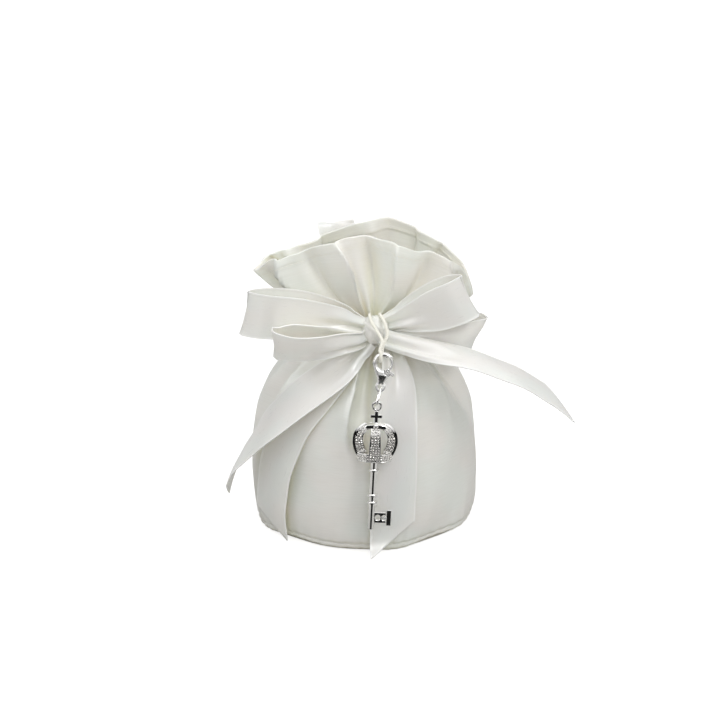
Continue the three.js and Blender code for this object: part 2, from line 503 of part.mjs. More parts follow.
addTo(claspFrame, "clasp_body", claspBodyGeometry(), silver);
addTo(claspFrame, "clasp_lever", claspLeverGeometry(), silver);

// The cord loop: from the top of the knot, down in front of it, through the clasp's hook from front to back
// and up again
const CORD_BEND = [
  { x: -1.3, y: -2.3, z: 3 },
  { x: -1.2, y: -2.1, z: 1.4 },
  { x: -1.1, y: 0, z: 0.45 },
  { x: -1, y: 2.1, z: 1.4 },
  { x: -1, y: 2.3, z: 3 },
];
const CORD_FRONT_RUN = [
  { x: 2.4, y: -18.6, z: 83.6 },
  { x: 2.2, y: -23, z: 82.8 },
  { x: 3.2, y: -27.6, z: 79.6 },
  { x: 4.6, y: -32.6, z: 76.2 },
];
const CORD_BACK_RUN = [
  { x: 6.2, y: -27.6, z: 76.2 },
  { x: 6.8, y: -25, z: 79.4 },
  { x: 6.4, y: -22.8, z: 82.2 },
  { x: 5.8, y: -18.6, z: 83.4 },
];
const toVector = ({ x, y, z }) => vector(x, y, z);
const cordBend = CORD_BEND.map((p) => toVector(p).applyMatrix4(claspFrame.matrix));
const cordLine = new THREE.CatmullRomCurve3(
  [...CORD_FRONT_RUN.map(toVector), ...cordBend, ...CORD_BACK_RUN.map(toVector)],
  false,
  "centripetal",
);
const cordSection = new THREE.Shape().absarc(0, 0, CORD_DIAMETER / 2, 0, 2 * Math.PI, false);
const cordGeometry = new THREE.ExtrudeGeometry(cordSection, {
  steps: 36,
  curveSegments: 4,
  extrudePath: cordLine,
});
addPiece("charm_cord", cordGeometry, ribbonSatin);

// The oval link between the clasp's eye and the key's eye, edge-on to the front
const LINK_WIRE = 0.34;
const LINK_HALF_WIDTH = 1.8; // to the middle of the wire
const KEY_EYE = { ring: 1.45, wire: 0.42 };

function linkGeometry() {
  const eyeRadius = (CLASP_EYE.outside + CLASP_EYE.inside) / 2;
  const claspWire = vector(0, 0, CLASP_EYE.z - eyeRadius).applyMatrix4(claspFrame.matrix);
  const keyWire = vector(0, 0, KEY_EYE.ring).applyMatrix4(keyFrame.matrix);
  const down = keyWire.clone().sub(claspWire).normalize();
  const upperEnd = claspWire.clone().addScaledVector(down, -(CLASP_EYE.back + GAP + LINK_WIRE));
  const lowerEnd = keyWire.clone().addScaledVector(down, KEY_EYE.wire + GAP + LINK_WIRE);
  const straight = lowerEnd.distanceTo(upperEnd) / 2 - LINK_HALF_WIDTH;
  const middle = upperEnd.clone().add(lowerEnd).divideScalar(2);
  const sideways = vector(0, -1, 0).addScaledVector(down, down.y).normalize();
  const points = [];
  const bends = 8;
  for (const end of [-1, 1]) {
    for (let i = 0; i <= bends; i++) {
      const turn = (Math.PI * i) / bends;
      const out = end * LINK_HALF_WIDTH * Math.cos(turn);
      const on = end * (straight + LINK_HALF_WIDTH * Math.sin(turn));
      points.push(middle.clone().addScaledVector(sideways, out).addScaledVector(down, on));
    }
  }
  return ringTube(points, LINK_WIRE, 8);
}

// A closed tube through a ring of points that lies in one plane
function ringTube(points, radius, sides) {
  const centre = middleOf(points);
  const [first, other] = [points[0], points[3]].map((point) => point.clone().sub(centre));
  const flat = vector(0, 0, 0).crossVectors(first, other).normalize();
  const count = points.length;
  const vertices = [];
  const faces = [];
  for (let i = 0; i < count; i++) {
    const tangent = points[(i + 1) % count].clone().sub(points[(i + count - 1) % count]).normalize();
    const outward = vector(0, 0, 0).crossVectors(tangent, flat);
    for (let k = 0; k < sides; k++) {
      const turn = (2 * Math.PI * k) / sides;
      const point = points[i].clone().addScaledVector(outward, radius * Math.cos(turn));
      vertices.push(point.addScaledVector(flat, radius * Math.sin(turn)));
      const [a, b] = [i * sides + k, i * sides + ((k + 1) % sides)];
      const next = (v) => (v + sides) % (count * sides);
      faces.push(a, next(b), b, a, next(a), next(b));
    }
  }
  const geometry = new THREE.BufferGeometry().setFromPoints(vertices);
  geometry.setIndex(faces);
  return geometry;
}

addPiece("chain_link", linkGeometry(), silver);

// The key, one soldered piece in its own frame: the origin is the middle of its eye, and it lies on its flat
// back
const KEY_BACK = 1.3; // of the flat back, behind the middle of the eye
const SHAFT_RADIUS = 1.2;
const CROSS_POST = { left: -0.55, right: 0.55, top: -1.7, foot: -6.6, front: -0.5, back: 0.5 };
const CROSS_ARMS = { left: -1.9, right: 1.9, top: -3.05, foot: -4.15, front: -0.5, back: 0.5 };
const CROWN = { top: -6.5, foot: -20, depthShare: 0.56, wall: 0.9, archWidth: 3.4, archTaper: 0.45 };
const CROWN_BAND = { height: 3, radius: 6.3 };
const CROWN_FLOOR = { radius: 5.9, foot: -19.8, top: -18.8 };
const CROWN_CAP = { radius: 3.4, thickness: 0.9 };
const CROWN_PLATE_INSET = 0.1; // of the flat plates from the crown's back
const SHAFT_FOOT = -45;
const SHAFT_INTO_CROWN = 0.5;
const BIT = { left: 0.6, right: 5, top: -38.7, foot: -42.6, front: -0.6, back: 0.6 };
const BIT_HOLES = [
  { x: 2.15, radius: 0.85 },
  { x: 4.05, radius: 0.85 },
];
const BIT_BAR = { left: 5.3, right: 6.9, top: -37.7, foot: -43.5, front: -0.6, back: 0.6 };
const BIT_BRIDGE = { left: 4.4, right: 5.6, top: -39.95, foot: -41.35, front: -0.42, back: 0.42 };

// Rings turned on the shaft, from the crown down: height of the middle, and how far it stands out
const SHAFT_COLLARS = [
  { z: -23.2, radius: 1.9, height: 1.1 },
  { z: -32.4, radius: 1.9, height: 1.1 },
  { z: -35.1, radius: 1.9, height: 1.1 },
];

// One arch of the crown from the band to the top, by its distance from the crown's middle line and its
// height
const ARCH_ROWS = [
  { out: 6, z: -18 },
  { out: 7.3, z: -15.4 },
  { out: 8, z: -12.6 },
  { out: 7.4, z: -9.6 },
  { out: 5, z: -7.5 },
  { out: 1.4, z: -6.9 },
];
const ARCH_ANGLES = [{ angle: -64 }, { angle: 0 }, { angle: 64 }];

// A place on the crown's half oval: 0 is its front, and +/-90 are its two sides on the flat back
function crownPoint(angleDegrees, out, z) {
  const angle = radians(angleDegrees);
  return vector(out * Math.sin(angle), KEY_BACK - out * CROWN.depthShare * Math.cos(angle), z);
}

function archSolid(angleDegrees) {
  const line = new THREE.CatmullRomCurve3(ARCH_ROWS.map((row) => crownPoint(angleDegrees, row.out, row.z)));
  const across = crownPoint(angleDegrees + 1, 1, 0).sub(crownPoint(angleDegrees - 1, 1, 0)).normalize();
  const steps = 12;
  const rings = Array.from({ length: steps + 1 }, (_, i) => {
    const t = i / steps;
    const place = line.getPoint(t);
    const tangent = line.getTangent(t);
    const side = across.clone().addScaledVector(tangent, -across.dot(tangent)).normalize();
    const outward = vector(0, 0, 0).crossVectors(side, tangent);
    const half = (CROWN.archWidth / 2) * (1 - CROWN.archTaper * t * t);
    const corner = (a, b) => place.clone().addScaledVector(side, a * half).addScaledVector(outward, b);
    return [corner(-1, 0), corner(1, 0), corner(1, -CROWN.wall), corner(-1, -CROWN.wall)];
  });
  return solidOf(closedSkin(middleOf(rings[0]), rings, middleOf(rings[steps])));
}

function crownBandSolid() {
  const steps = 16;
  const bandTop = CROWN.foot + CROWN_BAND.height;
  const inside = CROWN_BAND.radius - CROWN.wall;
  const corners = [
    { radius: CROWN_BAND.radius, z: CROWN.foot },
    { radius: inside, z: CROWN.foot },
    { radius: inside, z: bandTop },
    { radius: CROWN_BAND.radius, z: bandTop },
  ];
  const ringAt = (angle) => corners.map(({ radius, z }) => crownPoint(angle, radius, z));
  const rings = Array.from({ length: steps + 1 }, (_, i) => ringAt(-90 + (180 * i) / steps));
  return solidOf(closedSkin(middleOf(rings[0]), rings, middleOf(rings[steps])));
}

// A half oval plate of the crown, from its flat back to its front
function crownPlateSolid(radius, foot, top) {
  const outline = new THREE.Shape();
  const back = KEY_BACK - CROWN_PLATE_INSET;
  outline.absellipse(0, back, radius, radius * CROWN.depthShare, Math.PI, 2 * Math.PI, false);
  const depth = top - foot;
  const plate = new THREE.ExtrudeGeometry(outline, { depth, bevelEnabled: false, curveSegments: 16 });
  return solidOf(plate.translate(0, 0, foot));
}

function shaftSolid() {
  const top = CROWN.foot + SHAFT_INTO_CROWN;
  const profile = [new THREE.Vector2(0, SHAFT_FOOT), new THREE.Vector2(SHAFT_RADIUS, SHAFT_FOOT)];
  for (const { z, radius, height } of [...SHAFT_COLLARS].reverse()) {
    profile.push(new THREE.Vector2(SHAFT_RADIUS, z - height / 2));
    profile.push(new THREE.Vector2(radius, z - height / 4));
    profile.push(new THREE.Vector2(radius, z + height / 4));
    profile.push(new THREE.Vector2(SHAFT_RADIUS, z + height / 2));
  }
  profile.push(new THREE.Vector2(SHAFT_RADIUS, top), new THREE.Vector2(0, top));
  return solidOf(new THREE.LatheGeometry(profile, 16).rotateX(Math.PI / 2));
}

// A flat bar of the key, by its four edges as seen from the front and its two faces
function keyBar({ left, right, top, foot, front, back }) {
  return solidOf(barGeometry({ x: left, y: front, z: foot }, { x: right, y: back, z: top }));
}

function bitSolid() {
  const middle = (BIT.top + BIT.foot) / 2;
  let bit = keyBar(BIT);
  for (const { x, radius } of BIT_HOLES) {
    bit = bit.subtract(solidOf(discGeometry(x, middle, radius, BIT.front - CUT, BIT.back + CUT, 14)));
  }
  return bit.add(keyBar(BIT_BRIDGE)).add(keyBar(BIT_BAR));
}

function keyGeometry() {
  const ring = new THREE.TorusGeometry(KEY_EYE.ring, KEY_EYE.wire, 8, 24).rotateX(Math.PI / 2);
  const pieces = [
    solidOf(ring),
    keyBar(CROSS_POST),
    keyBar(CROSS_ARMS),
    crownPlateSolid(CROWN_CAP.radius, CROWN.top - CROWN_CAP.thickness, CROWN.top),
    ...ARCH_ANGLES.map(({ angle }) => archSolid(angle)),
    crownBandSolid(),
    crownPlateSolid(CROWN_FLOOR.radius, CROWN_FLOOR.foot, CROWN_FLOOR.top),
    shaftSolid(),
    bitSolid(),
  ];
  return geometryOf(pieces.reduce((sum, piece) => sum.add(piece)));
}

addTo(keyFrame, "key", keyGeometry(), silver);

export default pouch;
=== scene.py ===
# Looks of the satin favour pouch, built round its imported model. Metres, in the model's own frame: +Z is up
# and the front faces -Y. Tables and the sizes of pieces are in millimetres.
import math

import bmesh
import bpy
import numpy as np
from mathutils import Matrix, Vector, noise


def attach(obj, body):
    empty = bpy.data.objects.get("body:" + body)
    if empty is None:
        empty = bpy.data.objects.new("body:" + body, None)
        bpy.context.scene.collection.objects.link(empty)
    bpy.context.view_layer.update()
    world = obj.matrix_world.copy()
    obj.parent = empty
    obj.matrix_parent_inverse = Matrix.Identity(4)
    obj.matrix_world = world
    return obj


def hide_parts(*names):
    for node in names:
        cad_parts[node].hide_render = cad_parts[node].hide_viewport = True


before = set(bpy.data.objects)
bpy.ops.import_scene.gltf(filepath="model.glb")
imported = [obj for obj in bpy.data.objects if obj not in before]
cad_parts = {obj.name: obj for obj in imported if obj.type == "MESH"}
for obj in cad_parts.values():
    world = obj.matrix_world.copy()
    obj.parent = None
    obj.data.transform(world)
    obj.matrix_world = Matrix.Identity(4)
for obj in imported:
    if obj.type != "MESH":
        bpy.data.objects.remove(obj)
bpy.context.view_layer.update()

# The camera
# It looks down on the front of the pouch from the photograph's height, through a long lens.
LENS_MM = 85
CAMERA_DISTANCE = 0.62
CAMERA_ELEVATION = math.radians(21)
CAMERA_AIM = Vector((-0.0015, 0, 0.059))


def placed(name, data):
    """A new object in the scene."""
    made = bpy.data.objects.new(name, data)
    bpy.context.scene.collection.objects.link(made)
    return made


camera = placed("camera", bpy.data.cameras.new("camera"))
camera.data.lens = LENS_MM
to_camera = Vector((0, -math.cos(CAMERA_ELEVATION), math.sin(CAMERA_ELEVATION)))
camera.location = CAMERA_AIM + CAMERA_DISTANCE * to_camera
camera.rotation_euler = (-to_camera).to_track_quat("-Z", "Y").to_euler()
bpy.context.scene.camera = camera

# The satin bag
# One tube of ivory satin sewn to a round base and hemmed at the top. The neck is gathered by the tie, and
# the cloth above it is pressed into a frill with two lips. The wall is worked out from ovals and folds.
MM = 0.001
SATIN_THICK = 0.4
HEM_THICK = 0.8
HEM_WIDTH = 4.0
WALL_OUT = 0.6  # of the cloth's outer face from the middle of the model's wall
TIE_HEIGHT = 76.5
NECK_X = 2.0
BAG_COLUMNS = 336
WALL_STEP = 1.45  # between rows of the mesh
FINE_STEP = 0.42  # near the base seam and the hem
FINE_REACH = 6.5
MEASURED_AT = -60.0  # the angle at which the wall's length is measured
MEASURE_POINTS = 3000
BASE_RINGS = 6
BASE_RADIUS = 38.0
BASE_HOLLOW = 0.35  # how far the base's middle stands off the table
CLOTH_UV = 0.01  # UV units to a millimetre of flat cloth
FLAT_GIRTH = 262.0  # round the flat tube of cloth

# Each row is one oval round the bag, from the base to the rim
OVAL_COLUMNS = ("z", "side_drop", "right_droop", "half_width", "half_depth", "middle_x")
BAG_OVALS = [
    dict(zip(OVAL_COLUMNS, row))
    for row in (
        (0.6, 0, 0, 38, 34.6, 0),
        (3, 0, 0, 40, 36.4, 0),
        (11, 0, 0, 41, 37.2, 0),
        (24, 0, 0, 41.1, 37.7, 0),
        (36, 0, 0, 39.8, 36.8, 0),
        (46, 0, 0, 37.2, 34.6, 0.2),
        (55, 0, 0, 33, 30.6, 0.6),
        (62, 0, 0, 27.4, 25.6, 1),
        (68, 0, 0, 19.6, 18.8, 1.5),
        (73, 0, 0, 11.4, 11.2, NECK_X),
        (TIE_HEIGHT, 0, 0, 9.8, 9.6, NECK_X),
        (80, 0.2, 0, 11.4, 10, NECK_X),
        (86, 3, 2, 22, 10.8, 1.6),
        (93, 6.5, 5, 31, 11, 1),
        (101, 10.5, 7.5, 36.4, 10.4, 0.5),
        (108, 14, 9, 39, 9.4, 0),
    )
]
DROOP_POWER = 16
OVAL_STEP = 0.05  # either side of a place, to find the wall's slope there

# Folds and dents: the angle where each starts at its top and ends at its foot, its spread, its depth (a
# ridge above 0), how far its crest leans over, where it is deepest, its top and foot, how crisp its crest
# is, and how far its path swings sideways on the way down. 0 degrees is +X and -90 the front.
FOLD_COLUMNS = ("start", "end", "spread", "depth", "lean", "peak", "top", "foot", "crisp", "swing")
BAG_FOLDS = {
    "front valley": (-85, -83, 6.6, -8.6, 3, 0.36, 77, 31, 0, -10),
    "ridge left of it": (-95, -92, 3.6, 4.6, 6, 0.42, 77, 29, 0.85, -11),
    "slope right of it": (-66, -78, 6, 1.4, -1, 0.45, 73, 34),
    "right shoulder dent": (-25, -8, 8, -3.6, -3, 0.45, 74, 34),
    "right shoulder ridge": (-48, -36, 5, 3, 4, 0.45, 74, 36, 0.6),
    "right shoulder crease": (-38, -22, 3.2, -1.8, 2, 0.4, 74, 42),
    "right side ridge": (-16, 2, 4.6, 3.0, -3, 0.45, 72, 38, 0.6),
    "left shoulder dent": (-150, -166, 8, -3.4, 3, 0.45, 74, 32),
    "left shoulder ridge": (-138, -150, 4.5, 2.6, -4, 0.42, 74, 36, 0.5),
    "left shoulder crease": (-166, -184, 4, -1.8, 2, 0.4, 74, 44),
    "back left valley": (125, 132, 7, -4.6, 4, 0.45, 75, 30),
    "back left ridge": (138, 148, 5.5, 2.2, 3, 0.45, 74, 34),
    "back ridge": (92, 96, 6, 2.6, -3, 0.5, 74, 32),
    "back middle valley": (106, 110, 5, -2.6, 2, 0.42, 74, 40),
    "back right valley": (58, 50, 7, -4.4, -4, 0.45, 75, 31),
    "back right ridge": (44, 34, 5.5, 2.1, -3, 0.45, 74, 36),
    "right side valley": (22, 14, 6, -2.8, 2, 0.42, 74, 38),
    "belly hollow, left": (-128, -131, 14, -1.4, 0, 0.5, 44, 4),
    "belly hollow, right": (-38, -34, 12, -1.3, 0, 0.5, 40, 3),
    "belly ridge, right": (-16, -18, 7, 0.9, 0, 0.5, 46, 2),
    "belly ridge, back": (70, 74, 9, 1.0, 0, 0.5, 46, 2),
    "belly hollow, back": (120, 118, 11, -1.2, 0, 0.5, 42, 3),
    "frill front valley": (-92, -84, 5.6, -6, 1, 0.5, 118, 77),
    "frill ridge, right": (-72, -68, 4, 4.2, -4, 0.5, 118, 77, 0.6),
    "frill pleat, left": (-112, -101, 4, 4, 9, 0.5, 118, 77, 0.85),
    "frill valley, left": (-124, -115, 4.6, -3.4, 0, 0.5, 118, 77),
    "frill pleat, far left": (-140, -130, 4.4, 4.6, -11, 0.5, 118, 77, 0.85),
    "frill valley, far left": (-163, -156, 8, -4.5, 0, 0.3, 112, 77),
    "frill valley, right": (-54, -56, 4.6, -3.8, 1, 0.5, 118, 77),
    "frill pleat, far right": (-42, -48, 4, 3.8, 9, 0.5, 118, 77, 0.85),
    "frill valley, far right": (-24, -28, 5, -2.6, 0, 0.3, 111, 77),
    "frill back pleat": (112, 106, 4.8, 3.4, 5, 0.45, 118, 77, 0.55),
    "frill back valley": (88, 86, 7, -3.6, 0, 0.3, 113, 77),
    "frill back ridge": (64, 67, 4.8, 3.4, -5, 0.45, 118, 77, 0.55),
    "frill back crease": (136, 124, 5, -3, 4, 0.3, 113, 77),
    "frill back edge": (40, 48, 4.8, 2.6, 3, 0.3, 114, 77),
    "frill back left ridge": (154, 146, 5, 2.6, -5, 0.3, 114, 77),
}
CREST_FALL = 1.25  # how fast a crisp crest falls away, and in what curve
CREST_POWER = 1.1

# Where the rim stands higher or lower: angle, spread and rise
RIM_LIFTS = (
    (76, 13, 3.0),
    (118, 16, -3.2),
    (52, 9, 0.8),
    (-62, 8, -1.6),
    (-98, 7, 0.9),
    (-124, 8, -0.9),
    (-148, 8, 1.2),
)
RIM_LIFT_FROM = 84
RIM_LIFT_OVER = 22

# The gathers at the neck: how many, how deep, and how far they run down the shoulder and up the frill
GATHERS = 29
GATHER_SCATTER = 0.32
GATHER_SPREAD = 0.33 * 360 / GATHERS
GATHER_DEPTH = (1.9, 3.6)
GATHER_DOWN = (7, 31)
GATHER_UP = (7, 22)
GATHER_LEAN = 4.5
GATHER_DRIFT = 4.5
GATHER_FADE = 1.5
gather_seed = np.random.default_rng(11)
gathers = [
    dict(
        angle=360 * (k + gather_seed.uniform(-GATHER_SCATTER, GATHER_SCATTER)) / GATHERS,
        depth=gather_seed.uniform(*GATHER_DEPTH),
        down=gather_seed.uniform(*GATHER_DOWN),
        up=gather_seed.uniform(*GATHER_UP),
        lean=gather_seed.uniform(-GATHER_LEAN, GATHER_LEAN),
        drift=gather_seed.uniform(-GATHER_DRIFT, GATHER_DRIFT),
    )
    for k in range(GATHERS)
]


def along(rows, t, column):
    """A named column's value between the rows of a table, on a smooth curve through them."""
    values = np.array([row[column] for row in rows], float)
    i = np.clip(np.floor(t).astype(int), 0, len(rows) - 2)
    f = t - i
    a, b, c, d = (values[np.clip(i + k, 0, len(rows) - 1)] for k in (-1, 0, 1, 2))
    return b + 0.5 * f * (c - a + f * (2 * a - 5 * b + 4 * c - d + f * (3 * (b - c) + d - a)))


def ease(f):
    f = np.clip(f, 0, 1)
    return f * f * (3 - 2 * f)


def bell(x):
    """A bump that is 1 at 0 and dies away past 1."""
    return np.exp(-(x**2))


def turned(angle):
    """An angle in degrees brought between -180 and 180."""
    return (angle + 180) % 360 - 180


def bag_folds(angle, z):
    """How far out the folds push the cloth at an angle and height, and how far sideways, in degrees."""
    depth, shift = np.zeros_like(angle), np.zeros_like(angle)
    for row in BAG_FOLDS.values():
        fold = dict(zip(FOLD_COLUMNS, row))
        f = (fold["top"] - z) / (fold["top"] - fold["foot"])
        strength = np.where(f < fold["peak"], ease(f / fold["peak"]), ease((1 - f) / (1 - fold["peak"])))
        f = np.clip(f, 0, 1)
        middle = fold["start"] + f * (fold["end"] - fold["start"])
        middle = middle + fold.get("swing", 0) * np.sin(np.pi * f)
        away = np.abs(turned(angle - middle)) / fold["spread"]
        crisp = fold.get("crisp", 0)
        crest = np.exp(-CREST_FALL * away**CREST_POWER)
        bump = strength * ((1 - crisp) * bell(away) + crisp * crest)
        depth += fold["depth"] * bump
        shift += fold["lean"] * bump
    evened = GATHER_SPREAD * math.sqrt(math.pi) / 360  # one gather's mean round the neck
    for gather in gathers:
        away = TIE_HEIGHT - z
        run = np.where(away > 0, away / gather["down"], -away / gather["up"])
        strength = np.exp(-(run**GATHER_FADE))
        middle = gather["angle"] + gather["drift"] * run
        bump = bell(turned(angle - middle) / GATHER_SPREAD)
        depth += gather["depth"] * strength * (bump - evened)
        shift += gather["lean"] * strength * bump
    return depth, shift


def rim_lift(angle, z):
    """How much higher than its oval the frill stands at an angle, growing towards the rim."""
    lift = sum(rise * bell(turned(angle - at) / spread) for at, spread, rise in RIM_LIFTS)
    return lift * ease((z - RIM_LIFT_FROM) / RIM_LIFT_OVER)


def bag_wall(t, angle, out, folded=True):
    """Points of the bag's wall: t counts the ovals, and out is square to the smooth wall."""
    z_row = along(BAG_OVALS, t, "z")
    push, shift = bag_folds(angle, z_row) if folded else (0, 0)
    turn = np.radians(angle + shift)
    c, s = np.cos(turn), np.sin(turn)
    droop = np.maximum(0, c) ** DROOP_POWER
    lift = rim_lift(angle, z_row) if folded else 0

    def oval(at):
        width, depth = along(BAG_OVALS, at, "half_width"), along(BAG_OVALS, at, "half_depth")
        drop = along(BAG_OVALS, at, "side_drop") * c * c + along(BAG_OVALS, at, "right_droop") * droop
        return width, depth, along(BAG_OVALS, at, "z") - drop

    width, depth, height = oval(t)
    below = oval(np.maximum(0, t - OVAL_STEP))
    above = oval(np.minimum(len(BAG_OVALS) - 1, t + OVAL_STEP))
    rise = above[2] - below[2]
    run = np.hypot(below[0] * c, below[1] * s) - np.hypot(above[0] * c, above[1] * s)
    slope = np.maximum(np.hypot(rise, run), 1e-9)
    facing_x, facing_y = c / width, s / depth
    size = np.hypot(facing_x, facing_y)
    sideways = out * rise / slope + push
    x = along(BAG_OVALS, t, "middle_x") + width * c + facing_x / size * sideways
    y = depth * s + facing_y / size * sideways
    return np.stack([x, y, height + lift + out * run / slope], axis=-1)


def way_along(line):
    """The length travelled at each point of a line."""
    return np.concatenate([[0], np.cumsum(np.linalg.norm(np.diff(line, axis=0), axis=1))])


def rows_by_length():
    """The oval counts of the mesh's rows and their way up the wall, closer at the seam and the hem."""
    fine = np.linspace(0, len(BAG_OVALS) - 1, MEASURE_POINTS)
    way = way_along(bag_wall(fine, np.full_like(fine, MEASURED_AT), 0, folded=False))
    ways, end = [0.0], way[-1]
    while ways[-1] < end - 0.6 * FINE_STEP:
        near_edge = min(ways[-1], end - ways[-1]) < FINE_REACH
        ways.append(ways[-1] + (FINE_STEP if near_edge else WALL_STEP))
    ways = np.array(ways) * end / ways[-1]
    return np.interp(ways, way, fine), ways


# Rolls and grooves along the base seam and the hem: the way from the edge, the half width and the height
SEAM_ROLL = (1.5, 1.0, 0.3)
SEAM_GROOVE = (3.0, 0.5, -0.5)
HEM_GROOVE = (HEM_WIDTH - 0.7, 0.35, -0.22)
HEM_STEP = 0.5  # over which the hem's second layer ends
PUCKERS = dict(count=58, reach=5.0, height=0.16, from_edge=2.0)
# The base isn't quite round: height, how many round it, and turn
BASE_FACETS = ((0.65, 5, 0.9), (0.4, 9, -1.3))
FACET_REACH = 13.0
WRINKLES = ((17.0, 0.5), (6.5, 0.17))  # size and height of the cloth's soft unevenness
WRINKLES_FROM = 8.0


def groove(way, at, width, height):
    return height * bell((way - at) / width)


row_t, row_way = rows_by_length()
wall_length = row_way[-1]
column_angle = -270 + 360 * np.arange(BAG_COLUMNS) / BAG_COLUMNS
t_grid, angle_grid = np.meshgrid(row_t, column_angle, indexing="ij")
turn_grid = np.radians(angle_grid)
way_grid = np.repeat(row_way[:, None], BAG_COLUMNS, axis=1)
from_rim = wall_length - way_grid
out_grid = np.full_like(t_grid, WALL_OUT)
smooth_wall = bag_wall(t_grid, angle_grid, 0, folded=False).reshape(-1, 3)
for size, height in WRINKLES:
    bumps = np.array([noise.noise(Vector(p / size)) for p in smooth_wall]).reshape(t_grid.shape)
    out_grid += height * bumps * ease(way_grid / WRINKLES_FROM)
facets = sum(height * np.cos(count * turn_grid + start) for height, count, start in BASE_FACETS)
out_grid += facets * bell(way_grid / FACET_REACH)
puckers = PUCKERS["height"] * np.sin(turn_grid * PUCKERS["count"] + 3 * np.sin(turn_grid * 5))
puckers = puckers * np.exp(-np.abs(way_grid - SEAM_GROOVE[0]) / PUCKERS["reach"])
out_grid += groove(way_grid, *SEAM_ROLL)
out_grid += groove(way_grid, *SEAM_GROOVE)
out_grid += puckers * ease(way_grid / PUCKERS["from_edge"])
hem_share = ease((HEM_WIDTH + HEM_STEP / 2 - from_rim) / HEM_STEP)
out_grid += 0.5 * (HEM_THICK - SATIN_THICK) * hem_share
out_grid += groove(from_rim, *HEM_GROOVE)
wall_points = bag_wall(t_grid, angle_grid, out_grid)
wall_points[0, :, 2] = 0.0
wall_points[..., 2] = np.maximum(wall_points[..., 2], 0.0)

base_middle = wall_points[0].mean(axis=0)
base_shares = np.linspace(0, 1, BASE_RINGS + 2)[1:-1]
base_points = [
    base_middle + (wall_points[0] - base_middle) * share + np.array([0, 0, BASE_HOLLOW * (1 - share**4)])
    for share in base_shares
]
bag_rings = np.concatenate([np.stack(base_points), wall_points])
ring_ways = np.concatenate([-BASE_RADIUS * (1 - base_shares), row_way])


def grid_faces(rows, columns, closed):
    """Quads between the rows and columns of a grid of points."""
    faces = []
    for low in range(0, (rows - 1) * columns, columns):
        high = low + columns
        for j in range(columns if closed else columns - 1):
            right = (j + 1) % columns
            faces.append((low + j, low + right, high + right, high + j))
    return faces


def ring_corners(ways, columns):
    """For the corners of the quads between closed rings: the column, and the ring's own entry in ways."""
    column = np.repeat(np.arange(columns), 4) + np.tile([0, 1, 1, 0], columns)
    way = [np.tile([low, low, high, high], columns) for low, high in zip(ways[:-1], ways[1:])]
    return np.tile(column, len(ways) - 1), np.concatenate(way)


def piece_of(name, points, faces, material):
    """A new smooth-shaded object whose mesh has these points, given in millimetres."""
    mesh = bpy.data.meshes.new(name)
    mesh.from_pydata((np.asarray(points, float).reshape(-1, 3) * MM).tolist(), [], faces)
    mesh.polygons.foreach_set("use_smooth", [True] * len(mesh.polygons))
    mesh.materials.append(material)
    return placed(name, mesh)


def lay_cloth_uv(piece, across, up):
    """A UV map named cloth from each face corner's place on the flat cloth, in millimetres."""
    layer = piece.data.uv_layers.new(name="cloth")
    layer.data.foreach_set("uv", np.stack([across, up], axis=-1).ravel() * CLOTH_UV)


def thicken(piece, thick, offset, thin_share=1.0, weights=None):
    """Gives a sheet its thickness, less where the weights are low."""
    solidify = piece.modifiers.new("thickness", "SOLIDIFY")
    solidify.thickness = thick * MM
    solidify.offset = offset
    solidify.use_even_offset = False
    if weights is not None:
        group = piece.vertex_groups.new(name="thick")
        levels = np.round(weights, 2)
        for level in np.unique(levels):
            group.add(np.nonzero(levels == level)[0].tolist(), float(level), "REPLACE")
        solidify.vertex_group = group.name
        solidify.thickness_vertex_group = thin_share


def set_inputs(tree, node, inputs):
    """Sets a node's inputs to constants, or links the sockets that feed them."""
    for key, value in inputs.items():
        if isinstance(value, bpy.types.NodeSocket):
            tree.links.new(value, node.inputs[key])
        else:
            node.inputs[key].default_value = value


def add_node(tree, kind, inputs=None, **settings):
    """A node with its settings and inputs."""
    made = tree.nodes.new(kind)
    for name, value in settings.items():
        setattr(made, name, value)
    set_inputs(tree, made, inputs or {})
    return made


def maths(tree, operation, first, second=0.0):
    return add_node(tree, "ShaderNodeMath", {0: first, 1: second}, operation=operation).outputs[0]


def mixed(tree, share, first, second, blend="MIX"):
    """A mix of two colours."""
    inputs = {"Factor": share, 6: first, 7: second}
    return add_node(tree, "ShaderNodeMix", inputs, data_type="RGBA", blend_type=blend).outputs[2]


def ramped(tree, value, low, high, to_low, to_high):
    inputs = {"Value": value, "From Min": low, "From Max": high, "To Min": to_low, "To Max": to_high}
    return add_node(tree, "ShaderNodeMapRange", inputs, interpolation_type="SMOOTHSTEP").outputs["Result"]


def mapped(tree, place, **inputs):
    return add_node(tree, "ShaderNodeMapping", {"Vector": place, **inputs}).outputs[0]


def noise_of(tree, place, scale, detail, roughness=0.5):
    inputs = {"Vector": place, "Scale": scale, "Detail": detail, "Roughness": roughness}
    return add_node(tree, "ShaderNodeTexNoise", inputs).outputs["Fac"]


# How far the weave's patterns are drawn out on flat cloth, and the shares of its relief
SLUB_STRETCH = (0.11, 2.4, 1)
TINT_STRETCH = (0.045, 0.06, 1)
SLUB_SHARE = 0.7
THREAD_SHARE = 0.3


